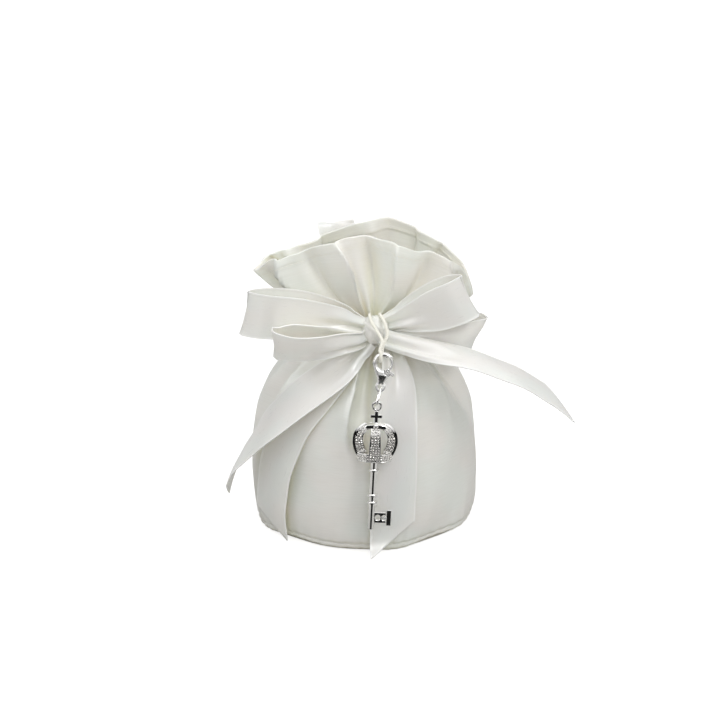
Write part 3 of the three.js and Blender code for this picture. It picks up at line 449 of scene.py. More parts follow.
def satin_weave_group():
    """The weave of satin on flat cloth: long slubs along the weft, fine threads, and a drift of tint."""
    tree = bpy.data.node_groups.new("satin_weave", "ShaderNodeTree")
    tree.interface.new_socket("Cloth", in_out="INPUT", socket_type="NodeSocketVector")
    for name in ("Slub", "Thread"):
        tree.interface.new_socket(name, in_out="INPUT", socket_type="NodeSocketFloat").default_value = 1.0
    for name in ("Height", "Streak", "Tint"):
        tree.interface.new_socket(name, in_out="OUTPUT", socket_type="NodeSocketFloat")
    given = add_node(tree, "NodeGroupInput").outputs
    flat = {0: given["Cloth"], "Scale": 1 / CLOTH_UV}
    millimetres = add_node(tree, "ShaderNodeVectorMath", flat, operation="SCALE").outputs[0]
    slub_place = mapped(tree, millimetres, Scale=SLUB_STRETCH)
    slub = noise_of(tree, slub_place, scale=given["Slub"], detail=3.0, roughness=0.6)
    waves = {"Vector": millimetres, "Scale": given["Thread"], "Distortion": 1.2, "Detail": 1.0}
    thread = add_node(tree, "ShaderNodeTexWave", waves, bands_direction="Y").outputs["Fac"]
    tint = noise_of(tree, mapped(tree, millimetres, Scale=TINT_STRETCH), scale=1.0, detail=1.0)
    slub_height = maths(tree, "MULTIPLY", slub, SLUB_SHARE)
    height = maths(tree, "ADD", slub_height, maths(tree, "MULTIPLY", thread, THREAD_SHARE))
    add_node(tree, "NodeGroupOutput", {"Height": height, "Streak": slub, "Tint": tint})
    return tree


def new_material(name):
    """A material with its node tree and its surface shader."""
    material = bpy.data.materials.new(name)
    material.use_nodes = True
    return material, material.node_tree, material.node_tree.nodes["Principled BSDF"]


satin_weave = satin_weave_group()
# Painted shade: close folds found within this reach get a yellower colour painted in, for light that turns
# yellower between folds of thin ivory cloth
PAINTED_SHADE_REACH = 11.0
TINT_DRIFT = ((0.972, 1.0, 0.985, 1), (1.0, 0.978, 0.968, 1))
SELVEDGE_COLOUR = (0.94, 0.935, 0.895, 1)


def satin_material(
    name, colours, painted_fold_shade, glow, gloss, slub, thread, relief, floats_up=False, selvedge_from=None
):
    """Ivory satin, its weave on the cloth's own UV map, with a yellower shade painted into close folds. A
    ribbon's woven edge starts at selvedge_from.
    """
    material, tree, surface = new_material(name)
    cloth = add_node(tree, "ShaderNodeUVMap", uv_map="cloth").outputs["UV"]
    threads = mapped(tree, cloth, Rotation=(0, 0, math.pi / 2 if floats_up else 0))
    weave_inputs = {"Cloth": threads, "Slub": slub, "Thread": thread}
    weave = add_node(tree, "ShaderNodeGroup", weave_inputs, node_tree=satin_weave).outputs
    colour = mixed(tree, ramped(tree, weave["Streak"], 0.3, 0.7, 0.0, 1.0), *colours)
    drift = mixed(tree, ramped(tree, weave["Tint"], 0.35, 0.65, 0.0, 1.0), *TINT_DRIFT)
    colour = mixed(tree, 1.0, colour, drift, "MULTIPLY")
    # Painted shade: where the AO node finds the cloth closed in by folds, its colour is multiplied by the
    # fold shade colour
    open_share = add_node(tree, "ShaderNodeAmbientOcclusion", {"Distance": PAINTED_SHADE_REACH * MM}, samples=6)
    painted_shade_share = ramped(tree, open_share.outputs["AO"], 0.1, 0.62, 1.0, 0.0)
    colour = mixed(tree, painted_shade_share, colour, mixed(tree, 1.0, colour, painted_fold_shade, "MULTIPLY"))
    rough = ramped(tree, weave["Streak"], 0.25, 0.75, gloss + 0.03, gloss - 0.02)
    height = weave["Height"]
    if selvedge_from is not None:
        parts = add_node(tree, "ShaderNodeSeparateXYZ", {"Vector": cloth})
        across = maths(tree, "MULTIPLY", parts.outputs["X"], 1 / CLOTH_UV)
        from_middle = maths(tree, "ABSOLUTE", maths(tree, "SUBTRACT", across, RIBBON_WIDTH / 2))
        edge = ramped(tree, from_middle, selvedge_from, selvedge_from + 0.25, 0.0, 1.0)
        colour = mixed(tree, edge, colour, SELVEDGE_COLOUR)
        rough = maths(tree, "ADD", rough, maths(tree, "MULTIPLY", edge, 0.12))
        height = maths(tree, "ADD", height, maths(tree, "MULTIPLY", edge, 0.8))
    bump = add_node(tree, "ShaderNodeBump", {"Strength": 0.2, "Distance": relief * MM, "Height": height})
    tangent = add_node(tree, "ShaderNodeTangent", direction_type="UV_MAP", uv_map="cloth")
    finish = {
        "Base Color": colour,
        "Roughness": rough,
        "Normal": bump.outputs["Normal"],
        "Tangent": tangent.outputs["Tangent"],
        "Anisotropic": 0.45,
        "IOR": 1.65,
        "Specular IOR Level": 1.0,
        "Sheen Weight": 0.15,
        "Sheen Roughness": 0.35,
        "Subsurface Weight": glow,
        "Subsurface Radius": (1.0, 0.95, 0.82),
        "Subsurface Scale": 1.8 * MM,
    }
    set_inputs(tree, surface, finish)
    return material


satin = satin_material(
    "ivory_satin",
    colours=((0.864, 0.857, 0.798, 1), (0.90, 0.895, 0.84, 1)),
    # the colour of the shade painted into close folds
    painted_fold_shade=(1.0, 0.96, 0.82, 1),
    glow=0.3,
    gloss=0.3,
    slub=1.15,
    thread=0.9,
    relief=0.1,
)

bag_faces = grid_faces(len(bag_rings), BAG_COLUMNS, closed=True)
pole = len(bag_rings) * BAG_COLUMNS
bag_faces += [(pole, (j + 1) % BAG_COLUMNS, j) for j in range(BAG_COLUMNS)]
bag_pole = base_middle + np.array([0, 0, BASE_HOLLOW])
bag = piece_of("satin_bag", np.vstack([bag_rings.reshape(-1, 3), bag_pole]), bag_faces, satin)
wall_column, wall_up = ring_corners(ring_ways, BAG_COLUMNS)
corner_column = np.concatenate([wall_column, np.repeat(np.arange(BAG_COLUMNS), 3)])
pole_up = np.tile([-BASE_RADIUS, ring_ways[0], ring_ways[0]], BAG_COLUMNS)
lay_cloth_uv(bag, corner_column * FLAT_GIRTH / BAG_COLUMNS, np.concatenate([wall_up, pole_up]))
hem_weights = np.concatenate([np.zeros(BASE_RINGS * BAG_COLUMNS), hem_share.ravel(), [0]])
thicken(bag, HEM_THICK, -1, SATIN_THICK / HEM_THICK, hem_weights)
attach(bag, "pouch_and_charm")
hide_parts("pouch")

# The hem's stitches
# A row of ivory thread, a few millimetres under the rim, on both faces of the frill. Each stitch is a
# short rounded length of thread laid along the hem.
STITCH_PITCH = 1.9
STITCH_LENGTH = 1.45
STITCH_PROUD = 0.03
THREAD_RADIUS = 0.09


def new_tree(name, sizes):
    """A Geometry Nodes tree with a geometry, named sizes and a material going in."""
    tree = bpy.data.node_groups.new(name, "GeometryNodeTree")
    tree.is_modifier = True
    tree.interface.new_socket("Geometry", in_out="INPUT", socket_type="NodeSocketGeometry")
    for size in sizes:
        tree.interface.new_socket(size, in_out="INPUT", socket_type="NodeSocketFloat")
    tree.interface.new_socket("Material", in_out="INPUT", socket_type="NodeSocketMaterial")
    tree.interface.new_socket("Geometry", in_out="OUTPUT", socket_type="NodeSocketGeometry")
    return tree, add_node(tree, "NodeGroupInput").outputs


def end_tree(tree, instances, material, smooth):
    """Closes a tree: its instances made real, shaded and given their material."""
    made = add_node(tree, "GeometryNodeRealizeInstances", {"Geometry": instances}).outputs[0]
    shading = {"Geometry": made, "Shade Smooth": smooth}
    made = add_node(tree, "GeometryNodeSetShadeSmooth", shading).outputs[0]
    made = add_node(tree, "GeometryNodeSetMaterial", {"Geometry": made, "Material": material}).outputs[0]
    add_node(tree, "NodeGroupOutput", {"Geometry": made})


def made_plain(piece):
    """Puts what a piece's modifiers make in place of its mesh, and removes them."""
    evaluated = piece.evaluated_get(bpy.context.evaluated_depsgraph_get())
    mesh = bpy.data.meshes.new_from_object(evaluated)
    piece.modifiers.clear()
    piece.data = mesh


def grown(name, seeds, tree, material, **sizes):
    """A piece made by a tree on a seed mesh, turned into a plain mesh."""
    made = placed(name, seeds)
    maker = made.modifiers.new("maker", "NODES")
    maker.node_group = tree
    given = {"Material": material, **sizes}
    for item in tree.interface.items_tree:
        if item.in_out == "INPUT" and item.name in given:
            maker[item.identifier] = given[item.name]
    made_plain(made)
    return made


def stitch_tree():
    tree, given = new_tree("stitch_row", ("Pitch", "Length", "Radius"))
    curve = add_node(tree, "GeometryNodeMeshToCurve", {"Mesh": given["Geometry"]}).outputs[0]
    spacing = {"Curve": curve, "Length": given["Pitch"]}
    spaced = add_node(tree, "GeometryNodeCurveToPoints", spacing, mode="LENGTH").outputs
    round_grain = {"Segments": 8, "Rings": 6, "Radius": 1.0}
    grain = add_node(tree, "GeometryNodeMeshUVSphere", round_grain).outputs["Mesh"]
    half = maths(tree, "MULTIPLY", given["Length"], 0.5)
    shape = {"X": given["Radius"], "Y": given["Radius"], "Z": half}
    stitches = {
        "Points": spaced["Points"],
        "Instance": grain,
        "Rotation": spaced["Rotation"],
        "Scale": add_node(tree, "ShaderNodeCombineXYZ", shape).outputs[0],
    }
    laid = add_node(tree, "GeometryNodeInstanceOnPoints", stitches).outputs[0]
    end_tree(tree, laid, given["Material"], True)
    return tree


def thread_material():
    material, tree, surface = new_material("ivory_thread")
    place = add_node(tree, "ShaderNodeTexCoord").outputs["Object"]
    fuzz = noise_of(tree, place, scale=9000.0, detail=2.0)
    bump = add_node(tree, "ShaderNodeBump", {"Strength": 0.4, "Distance": 0.05 * MM, "Height": fuzz})
    finish = {
        "Base Color": mixed(tree, fuzz, (0.82, 0.80, 0.71, 1), (0.90, 0.885, 0.81, 1)),
        "Roughness": ramped(tree, fuzz, 0.2, 0.8, 0.45, 0.65),
        "Normal": bump.outputs["Normal"],
        "Sheen Weight": 0.3,
    }
    set_inputs(tree, surface, finish)
    return material


thread = thread_material()
hem_row = int(np.argmin(np.abs(row_way - (wall_length - HEM_GROOVE[0]))))
hem_t, hem_out = np.full(BAG_COLUMNS, row_t[hem_row]), out_grid[hem_row]
hem_faces_out = (hem_out + STITCH_PROUD, hem_out - HEM_THICK - STITCH_PROUD)
hem_lines = [bag_wall(hem_t, column_angle, out) for out in hem_faces_out]
hem_mesh = bpy.data.meshes.new("hem_line")
hem_edges = [
    (first + j, first + (j + 1) % BAG_COLUMNS) for first in (0, BAG_COLUMNS) for j in range(BAG_COLUMNS)
]
hem_mesh.from_pydata((np.concatenate(hem_lines) * MM).tolist(), hem_edges, [])
stitch_sizes = {"Pitch": STITCH_PITCH * MM, "Length": STITCH_LENGTH * MM, "Radius": THREAD_RADIUS * MM}
hem_stitches = grown("hem_stitches", hem_mesh, stitch_tree(), thread, **stitch_sizes)
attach(hem_stitches, "pouch_and_charm")

# The ribbons
# Ivory satin ribbon with woven edges: the bow's four loops and four tails in front, and one loop behind the
# frill. Each is folded small where the knot or the tie holds it, and the tails are cut on the slant.
RIBBON_WIDTH = 16.0
RIBBON_THICK = 0.26
SELVEDGE_THICK = 0.42
SELVEDGE_FROM = 7.35
RIBBON_STEP = 0.75
RIBBON_COLUMNS = 31
PINCH_FOLDS = 1.7
PINCHED_WIDTH = 4.2
PINCHED_SHARE = 0.45  # of the station's width, on top of the pinched width
FOLD_RISE = 0.75
MOST_FOLD = 0.85
UNFOLDED = 0.95  # share of the full width at which the folds are gone
FOLDS_OVER = 5.0
RIPPLE = dict(height=0.16, length=19)
STATION_COLUMNS = ("x", "y", "z", "across_x", "across_y", "across_z", "width")
FULL = RIBBON_WIDTH  # at a station where the ribbon isn't gathered
LOOPS = {
    "left_upper": (
        (-1.4, -19.9, 79.2, 0.1, 0, 1, 4.6),
        (-8, -22.6, 81.4, 0.2, 0, 1, 10.6),
        (-22, -25, 83.6, 0.24, 0, 0.97, 15),
        (-36, -25.2, 84.6, 0.24, 0, 0.97, FULL),
        (-41.6, -21.6, 84.8, 0.24, 0, 0.97, FULL),
        (-36, -18, 84.8, 0.24, 0, 0.97, FULL),
        (-22, -17.4, 84, 0.24, 0, 0.97, 15),
        (-8, -17.3, 81.6, 0.2, 0, 1, 10.6),
        (-1.4, -17.3, 79.2, 0.1, 0, 1, 4.6),
    ),
    "left_lower": (
        (-1, -22.4, 75, 0, -0.3, 0.95, 3.6),
        (-6, -28.2, 76, 0, -0.45, 0.89, 8),
        (-15, -34.2, 76.6, 0, -0.6, 0.8, 12.6),
        (-25, -36.2, 76.7, 0, -0.6, 0.8, 15),
        (-30.6, -33.2, 77.8, 0, -0.6, 0.8, 15),
        (-25, -30, 79, 0, -0.6, 0.8, 14.6),
        (-15, -28.4, 78.8, 0, -0.6, 0.8, 12),
        (-6, -25, 76.8, 0, -0.45, 0.89, 7),
        (-1.5, -21, 75.2, 0, -0.3, 0.95, 3.6),
    ),
    "right_upper": (
        (8.8, -20, 80, -0.3, 0, 0.95, 4.6),
        (14.6, -22.4, 82.4, -0.4, 0, 0.9, 10),
        (24, -24.6, 86.4, -0.45, 0, 0.89, 15),
        (32, -24.4, 89.4, -0.45, 0, 0.89, FULL),
        (36.4, -21.2, 91, -0.45, 0, 0.89, FULL),
        (32, -18, 90, -0.45, 0, 0.89, FULL),
        (24, -17.4, 87, -0.45, 0, 0.89, 15),
        (14.6, -17.3, 82.6, -0.4, 0, 0.9, 10),
        (8.8, -17.4, 80, -0.3, 0, 0.95, 4.6),
    ),
    "right_lower": (
        (9, -19.4, 75.6, 0.2, 0, 0.97, 3.4),
        (17, -20.4, 74, 0.35, 0, 0.93, 8),
        (28, -21, 74.4, 0.5, 0, 0.86, 12.6),
        (36, -20, 75, 0.5, 0, 0.86, 14),
        (40, -16.6, 75.4, 0.5, 0, 0.86, 14),
        (36, -13.2, 75.4, 0.5, 0, 0.86, 14),
        (28, -14, 74.6, 0.5, 0, 0.86, 12.6),
        (17, -15.8, 74.2, 0.35, 0, 0.93, 8),
        (9, -17, 75.6, 0.2, 0, 0.97, 3.4),
    ),
    "back": (
        (1.6, 11.8, 75, 1, 0, 0, 7),
        (1, 13.9, 77.8, 1, 0, 0, 8),
        (-1.6, 15.4, 83, 0.98, 0.1, 0, 11),
        (-6.4, 16.2, 93, 0.97, 0.2, 0.04, 13),
        (-9.6, 16.6, 102, 0.97, 0.22, 0.04, 13.4),
        (-10.4, 18.6, 106, 0.97, 0.22, 0.04, 13.4),
        (-9.8, 20.8, 102, 0.97, 0.22, 0.04, 13.4),
        (-6.4, 21, 93, 0.97, 0.2, 0.04, 13),
        (-1.6, 18.4, 83, 0.98, 0.1, 0, 11),
        (0.8, 15.2, 78, 1, 0, 0, 8),
        (1.6, 12.2, 75, 1, 0, 0, 7),
    ),
}

# Tails on the belly: the angle round the bag, height, way out from the cloth, lean, and width
BELLY_TAILS = {
    "left_outer": (
        (-99, 70.8, 7.8, 0, 6.6),
        (-108, 66.8, 8.4, 3, 12),
        (-122, 59.4, 6.2, 10, 15),
        (-137, 48, 5.4, 18, FULL),
        (-151, 34, 6.6, 28, FULL),
        (-160, 23, 8.6, 30, FULL),
        (-165, 7, 12.4, 26, FULL),
    ),
    "left_inner": (
        (-97, 70.2, 4.4, 0, 6),
        (-107.5, 66.6, 4.2, 0, 11.4),
        (-119.5, 58.6, 2.2, 0, 15.4),
        (-130, 46, 1.5, 0, FULL),
        (-137, 30, 1.4, 0, FULL),
        (-141, 14, 1.4, 0, FULL),
        (-142, 1, 3.2, 0, FULL),
    ),
    "centre": (
        (-70, 71.8, 6.6, 0, 5),
        (-70, 68, 6, 0, 8),
        (-71, 60, 3, 0, 13),
        (-74, 48, 1.2, 0, FULL),
        (-75, 34, 1.1, 0, FULL),
        (-76, 18, 1.2, 0, FULL),
        (-77, 5, 3, 0, FULL),
        (-77.6, 1, 10, 0, FULL),
    ),
}
RIGHT_TAIL = (
    (7, -22.7, 76, 0, -0.5, -0.86, 4),
    (19, -27.4, 74, 0.1, -0.75, -0.55, 9),
    (34, -29, 71.2, 0.1, -0.96, -0.22, 14),
    (50, -27.6, 65, 0.1, -0.985, -0.13, FULL),
    (63, -25, 57, 0.1, -0.985, -0.13, FULL),
    (73, -23.4, 48.4, 0.1, -0.985, -0.13, FULL),
)
TIE_ROW = 10  # the oval at the tie, up to which a tail's height is looked up
BELLY_POINTS = 4000
KNOT_MIDDLE = np.array([3.8, -18.9, 77.4])
INTO_KNOT = 4.6
# How each ribbon's end is slanted, how much it cups across its width, and where its pinched folds start
RIBBON_SHAPES = {
    "left_upper": dict(slant=0, cup=0.35, phase=0.1),
    "left_lower": dict(slant=0, cup=-0.4, phase=0.45),
    "right_upper": dict(slant=0, cup=-0.4, phase=0.3),
    "right_lower": dict(slant=0, cup=0.3, phase=0.75),
    "back": dict(slant=0, cup=0.3, phase=0.2),
    "left_outer": dict(slant=15, cup=0.45, phase=0.6),
    "left_inner": dict(slant=-8, cup=0.25, phase=0.15),
    "centre": dict(slant=14, cup=0.15, phase=0.35),
    "right": dict(slant=-11, cup=-0.5, phase=0.85),
}


def on_belly(row):
    """A tail's row as a station: a place off the smooth belly, with the ribbon lying against it."""
    angle, z, off, turn, width = row
    rows = np.linspace(0, TIE_ROW, BELLY_POINTS)
    t = np.array([np.interp(z, along(BAG_OVALS, rows, "z"), rows)])
    c, s = math.cos(math.radians(angle)), math.sin(math.radians(angle))
    wall = bag_wall(t, np.array([float(angle)]), WALL_OUT, folded=False)[0]
    half_width, half_depth = (along(BAG_OVALS, t, column)[0] for column in ("half_width", "half_depth"))
    facing = Vector((c / half_width, s / half_depth, 0)).normalized()
    lean = math.radians(turn)
    across = Vector((-facing.y, facing.x, 0)) * math.cos(lean) + facing * math.sin(lean)
    return (wall[0] + facing.x * off, wall[1] + facing.y * off, z, *across, width)


def into_knot(row):
    """A station further on, where the ribbon is already inside the knot."""
    place = np.array(row[:3])
    return (*(place + INTO_KNOT * unit(KNOT_MIDDLE - place)), *row[3:])


def smooth_line(points, count=1600):
    """Points close together on a smooth curve through a few, with the share of the way at each."""
    points = np.asarray(points, float)
    padded = np.vstack([2 * points[0] - points[1], points, 2 * points[-1] - points[-2]])
    knot = np.maximum(np.linalg.norm(np.diff(padded, axis=0), axis=1) ** 0.5, 1e-6)
    at = np.linspace(0, len(points) - 1, count)
    i = np.minimum(at.astype(int), len(points) - 2)
    f = (at - i)[:, None]
    p0, p1, p2, p3 = (padded[i + k] for k in range(4))
    d0, d1, d2 = (knot[i + k][:, None] for k in range(3))
    leave = ((p1 - p0) / d0 - (p2 - p0) / (d0 + d1) + (p2 - p1) / d1) * d1
    reach = ((p2 - p1) / d1 - (p3 - p1) / (d1 + d2) + (p3 - p2) / d2) * d1
    bend = 2 * p1 - 2 * p2 + leave + reach
    line = p1 + f * (leave + f * (-3 * p1 + 3 * p2 - 2 * leave - reach + f * bend))
    return at, line, way_along(line)


def at_ways(at, way, values):
    """Points or directions along a line, at other ways along it."""
    return np.stack([np.interp(at, way, values[:, k]) for k in range(3)], axis=-1)


def unit(v):
    return v / np.maximum(np.linalg.norm(v, axis=-1, keepdims=True), 1e-12)


def ribbon(name, stations, slant, cup, phase, material):
    """One length of ribbon through its stations, and its length in millimetres."""
    rows = [dict(zip(STATION_COLUMNS, row)) for row in stations]
    at, line, way = smooth_line([row[:3] for row in stations])
    length = way[-1]
    tangents = unit(np.gradient(line, axis=0))
    across = np.stack([along(rows, at, "across_" + axis) for axis in "xyz"], axis=-1)
    across = unit(across - tangents * (across * tangents).sum(-1, keepdims=True))
    normals = np.cross(tangents, across)
    steps = int(length / RIBBON_STEP)
    sides = np.sin(np.linspace(-np.pi / 2, np.pi / 2, RIBBON_COLUMNS))
    share, side = np.meshgrid(np.linspace(0, 1, steps + 1), sides, indexing="ij")
    shorter = abs(slant) * (1 + math.copysign(1, slant) * side) / 2
    travelled = share * (length - shorter)
    here = np.interp(travelled, way, along(rows, at, "width"))
    here = np.minimum(np.maximum(here, PINCHED_WIDTH + PINCHED_SHARE * here), RIBBON_WIDTH)
    narrowed = np.maximum(RIBBON_WIDTH / here - 1, 0)
    fold_height = np.minimum(FOLD_RISE * here / (np.pi * PINCH_FOLDS) * np.sqrt(narrowed), MOST_FOLD)
    fold_height = fold_height * ease((UNFOLDED * RIBBON_WIDTH - here) / FOLDS_OVER)
    fold_turn = np.pi * PINCH_FOLDS * side + 2 * np.pi * phase + 0.7 * np.sin(3 * side + 5 * phase)
    ripple = RIPPLE["height"] * side**2 * np.sin(2 * np.pi * travelled / RIPPLE["length"] + 6 * phase)
    ripple = ripple * (here / RIBBON_WIDTH) ** 2
    off = fold_height * np.cos(fold_turn) + cup * (1 - side**2) * (here / RIBBON_WIDTH) + ripple
    middle, aside, facing = (at_ways(travelled, way, values) for values in (line, across, normals))
    points = middle + aside * (side * here / 2)[..., None] + facing * off[..., None]
    faces = grid_faces(steps + 1, RIBBON_COLUMNS, closed=False)
    made = piece_of(name, points, faces, material)
    flat_across = (side + 1) / 2 * RIBBON_WIDTH
    corners = np.array(faces).ravel()
    lay_cloth_uv(made, flat_across.ravel()[corners], travelled.ravel()[corners])
    edge = np.where(np.abs(flat_across - RIBBON_WIDTH / 2) > SELVEDGE_FROM, 1.0, 0.0)
    thicken(made, SELVEDGE_THICK, 0, RIBBON_THICK / SELVEDGE_THICK, edge.ravel())
    return made, length


RIBBON_LOOK = dict(
    colours=((0.88, 0.875, 0.83, 1), (0.896, 0.892, 0.852, 1)),
    # the colour of the shade painted into close folds of the ribbons
    painted_fold_shade=(1.0, 0.985, 0.93, 1),
    gloss=0.29,
    slub=1.3,
    thread=1.0,
    relief=0.02,
    floats_up=True,
    selvedge_from=SELVEDGE_FROM,
)
ribbon_satin = satin_material("ribbon_satin", glow=0.42, **RIBBON_LOOK)
ribbon_stations = {f"bow_loop_{name}": rows for name, rows in LOOPS.items()}
for name, rows in BELLY_TAILS.items():
    ribbon_stations[f"tail_{name}"] = [on_belly(row) for row in rows]
ribbon_stations["tail_right"] = RIGHT_TAIL
for node, stations in ribbon_stations.items():
    if node != "bow_loop_back":
        stations = [into_knot(stations[0]), *stations]
    if node.startswith("bow_loop") and node != "bow_loop_back":
        stations = [*stations, into_knot(stations[-1])]
    shape = RIBBON_SHAPES[node.replace("bow_loop_", "").replace("tail_", "")]
    strip, strip_length = ribbon(f"ribbon_{node}", stations, material=ribbon_satin, **shape)
    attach(strip, "pouch_and_charm")
    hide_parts(node)

# The tie round the neck
# Two turns of the same ribbon, wound over the gathers and drawn tight, so that each crumples into a narrow
# rope of folds. The knot sits on it in front.
TIE_TURNS = (
    dict(radius=12.3, tilt_x=3.5, tilt_y=2.0, lift=0.5, phase=0.0),
    dict(radius=12.75, tilt_x=-3.0, tilt_y=-3.0, lift=-0.5, phase=0.4),
)
TIE_HALF_HEIGHT = 1.75
TIE_COLUMNS = 220
TIE_ROWS = 21
TIE_CREASE = 0.36
TIE_CREASES = 2.6
TIE_ROUNDING = 0.75


def full_turn(count):
    return np.linspace(0, 2 * np.pi, count, endpoint=False)


def joined(parts):
    """Several lists of points and faces as one."""
    points, faces, first = [], [], 0
    for part_points, part_faces in parts:
        points.append(np.asarray(part_points, float).reshape(-1, 3))
        faces += [tuple(first + i for i in face) for face in part_faces]
        first += len(points[-1])
    return np.concatenate(points), faces


def wound_uv(rows, columns, length):
    """The flat places of the corners of a ribbon wound into a ring: across it, and along its length."""
    column, across = ring_corners(RIBBON_WIDTH * np.arange(rows) / (rows - 1), columns)
    return np.stack([across, column * length / columns])


tie_parts, tie_uv = [], []
for turn in TIE_TURNS:
    side, angle = np.meshgrid(np.linspace(-1, 1, TIE_ROWS), full_turn(TIE_COLUMNS), indexing="ij")
    phase, tilt_x, tilt_y = turn["phase"], math.radians(turn["tilt_x"]), math.radians(turn["tilt_y"])
    wander = 1.4 * np.sin(2 * angle + 9 * phase) + 0.8 * np.sin(5 * angle + 4 * phase)
    crease = TIE_CREASE * np.cos(np.pi * TIE_CREASES * side + wander + 2 * np.pi * phase)
    radius = turn["radius"] + crease - TIE_ROUNDING * side**4
    height = TIE_HALF_HEIGHT * side * (1 + 0.12 * np.sin(3 * angle + 7 * phase)) + turn["lift"]
    height += radius * (tilt_x * np.sin(angle) + tilt_y * np.cos(angle))
    ring = [NECK_X + radius * np.cos(angle), radius * np.sin(angle), TIE_HEIGHT + height]
    tie_parts.append((np.stack(ring, axis=-1), grid_faces(TIE_ROWS, TIE_COLUMNS, closed=True)))
    tie_uv.append(wound_uv(TIE_ROWS, TIE_COLUMNS, 2 * np.pi * turn["radius"]))
wound_satin = satin_material("wound_ribbon_satin", glow=0.2, **RIBBON_LOOK)
tie = piece_of("ribbon_neck_tie", *joined(tie_parts), wound_satin)
lay_cloth_uv(tie, *np.concatenate(tie_uv, axis=1))
thicken(tie, RIBBON_THICK, -1)
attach(tie, "pouch_and_charm")
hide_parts("neck_tie")

# The knot
# A soft lump of crossed ribbon in front of the tie: a core, and two short bands of ribbon drawn round it.
# The loops, the tails and the charm's cord go into it.
KNOT_HALF = np.array([4.9, 4.6, 5.0])
KNOT_AROUND = 96
KNOT_LEVELS = 48
KNOT_SWIRLS = 6
KNOT_BANDS = (
    dict(lean=10, width=7.6, out=1.03, phase=0.2, roll=0),
    dict(lean=-34, width=4.6, out=1.08, phase=0.7, roll=18),
)
KNOT_BAND_ROWS = 23
KNOT_BAND_LENGTH = 28.0
KNOT_CREASE = 0.05
KNOT_CREASES = 2.3
BAND_GRIP = 5.2  # the half width at which a band would close over the knot
BAND_SPREAD = 4.6
CORE_CELL = 0.4  # of weave along each face of the core


def ball(levels, around):
    """Points of a round ball of radius 1 on a grid from foot to top, with their rise and turn."""
    rise, turn = np.meshgrid(np.linspace(-np.pi / 2, np.pi / 2, levels), full_turn(around), indexing="ij")
    points = np.stack([np.cos(rise) * np.cos(turn), np.cos(rise) * np.sin(turn), np.sin(rise)], axis=-1)
    return points, rise, turn


core, rise, turn = ball(KNOT_LEVELS, KNOT_AROUND)
swirl = KNOT_SWIRLS * turn + 2.2 * rise + 1.1 * np.sin(2 * turn)
core_size = 0.95 + KNOT_CREASE * np.cos(swirl) * np.cos(rise) + 0.02 * np.cos(2 * swirl + 1)
core_faces = grid_faces(KNOT_LEVELS, KNOT_AROUND, closed=True)
core_step = RIBBON_WIDTH / KNOT_LEVELS
knot_parts = [(KNOT_MIDDLE + KNOT_HALF * core * core_size[..., None], core_faces)]
knot_uv = [np.tile([[0, 0, core_step, core_step], [0, CORE_CELL, CORE_CELL, 0]], len(core_faces))]
for band in KNOT_BANDS:
    side, around = np.meshgrid(np.linspace(-1, 1, KNOT_BAND_ROWS), full_turn(KNOT_AROUND), indexing="ij")
    aside, phase = side * band["width"] / 2, 6 * band["phase"]
    crease = KNOT_CREASE * np.cos(np.pi * KNOT_CREASES * side + 1.2 * np.sin(2 * around + phase) + phase)
    grip = np.sqrt(np.maximum(1 - (aside / BAND_GRIP) ** 2, 0.2))
    reach = band["out"] * grip + crease - 0.08 * side**6
    loop = np.stack([aside / BAND_SPREAD, reach * np.cos(around), reach * np.sin(around)], axis=-1)
    lean = Matrix.Rotation(math.radians(band["lean"]), 3, "Y")
    lean = np.array(lean @ Matrix.Rotation(math.radians(band["roll"]), 3, "Z"))
    band_faces = grid_faces(KNOT_BAND_ROWS, KNOT_AROUND, closed=True)
    knot_parts.append((KNOT_MIDDLE + (loop @ lean.T) * KNOT_HALF, band_faces))
    knot_uv.append(wound_uv(KNOT_BAND_ROWS, KNOT_AROUND, KNOT_BAND_LENGTH))
knot = piece_of("ribbon_bow_knot", *joined(knot_parts), wound_satin)
lay_cloth_uv(knot, *np.concatenate(knot_uv, axis=1))
thicken(knot, RIBBON_THICK, -1)
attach(knot, "pouch_and_charm")
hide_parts("bow_knot")

# The charm's cord
# A thin twisted cord of three ivory strands. It comes out of the top of the knot, runs down in front of
# it, through the hook of the clasp, and back up into the knot.
STRANDS = 3
STRAND_RADIUS = 0.33
STRAND_OFFSET = 0.29
TWIST_PITCH = 3.0
CORD_SIDES = 9
CORD_POINTS = 190
CLASP_PLACE = dict(at=(6.6, -33.4, 70.6), lean_back=22, lean_left=8)
CORD_FRONT_RUN = (
    (1.8, -18.6, 83.2),
    (2.4, -23.2, 82.4),
    (4.6, -27.8, 80),
    (6.2, -31.4, 77.6),
    (5.3, -33.2, 75.4),
)
CORD_BEND = ((-1.3, -2.3, 3), (-1.2, -2.1, 1.4), (-1.1, 0, 0.45), (-1, 2.1, 1.4), (-1, 2.3, 3))
CORD_BACK_RUN = ((6.6, -28.2, 75.8), (7.9, -26.4, 78.4), (7.2, -23.8, 81.6), (5.4, -18.6, 83.4))


def charm_matrix(at, lean_back, lean_left):
    """The frame of a hanging piece, in millimetres."""
    back = Matrix.Rotation(math.radians(-lean_back), 4, "X")
    left = Matrix.Rotation(math.radians(lean_left), 4, "Y")
    return Matrix.Translation(at) @ (back @ left)


def in_frame(matrix, points):
    turn = np.array(matrix)
    return np.asarray(points, float) @ turn[:3, :3].T + turn[:3, 3]


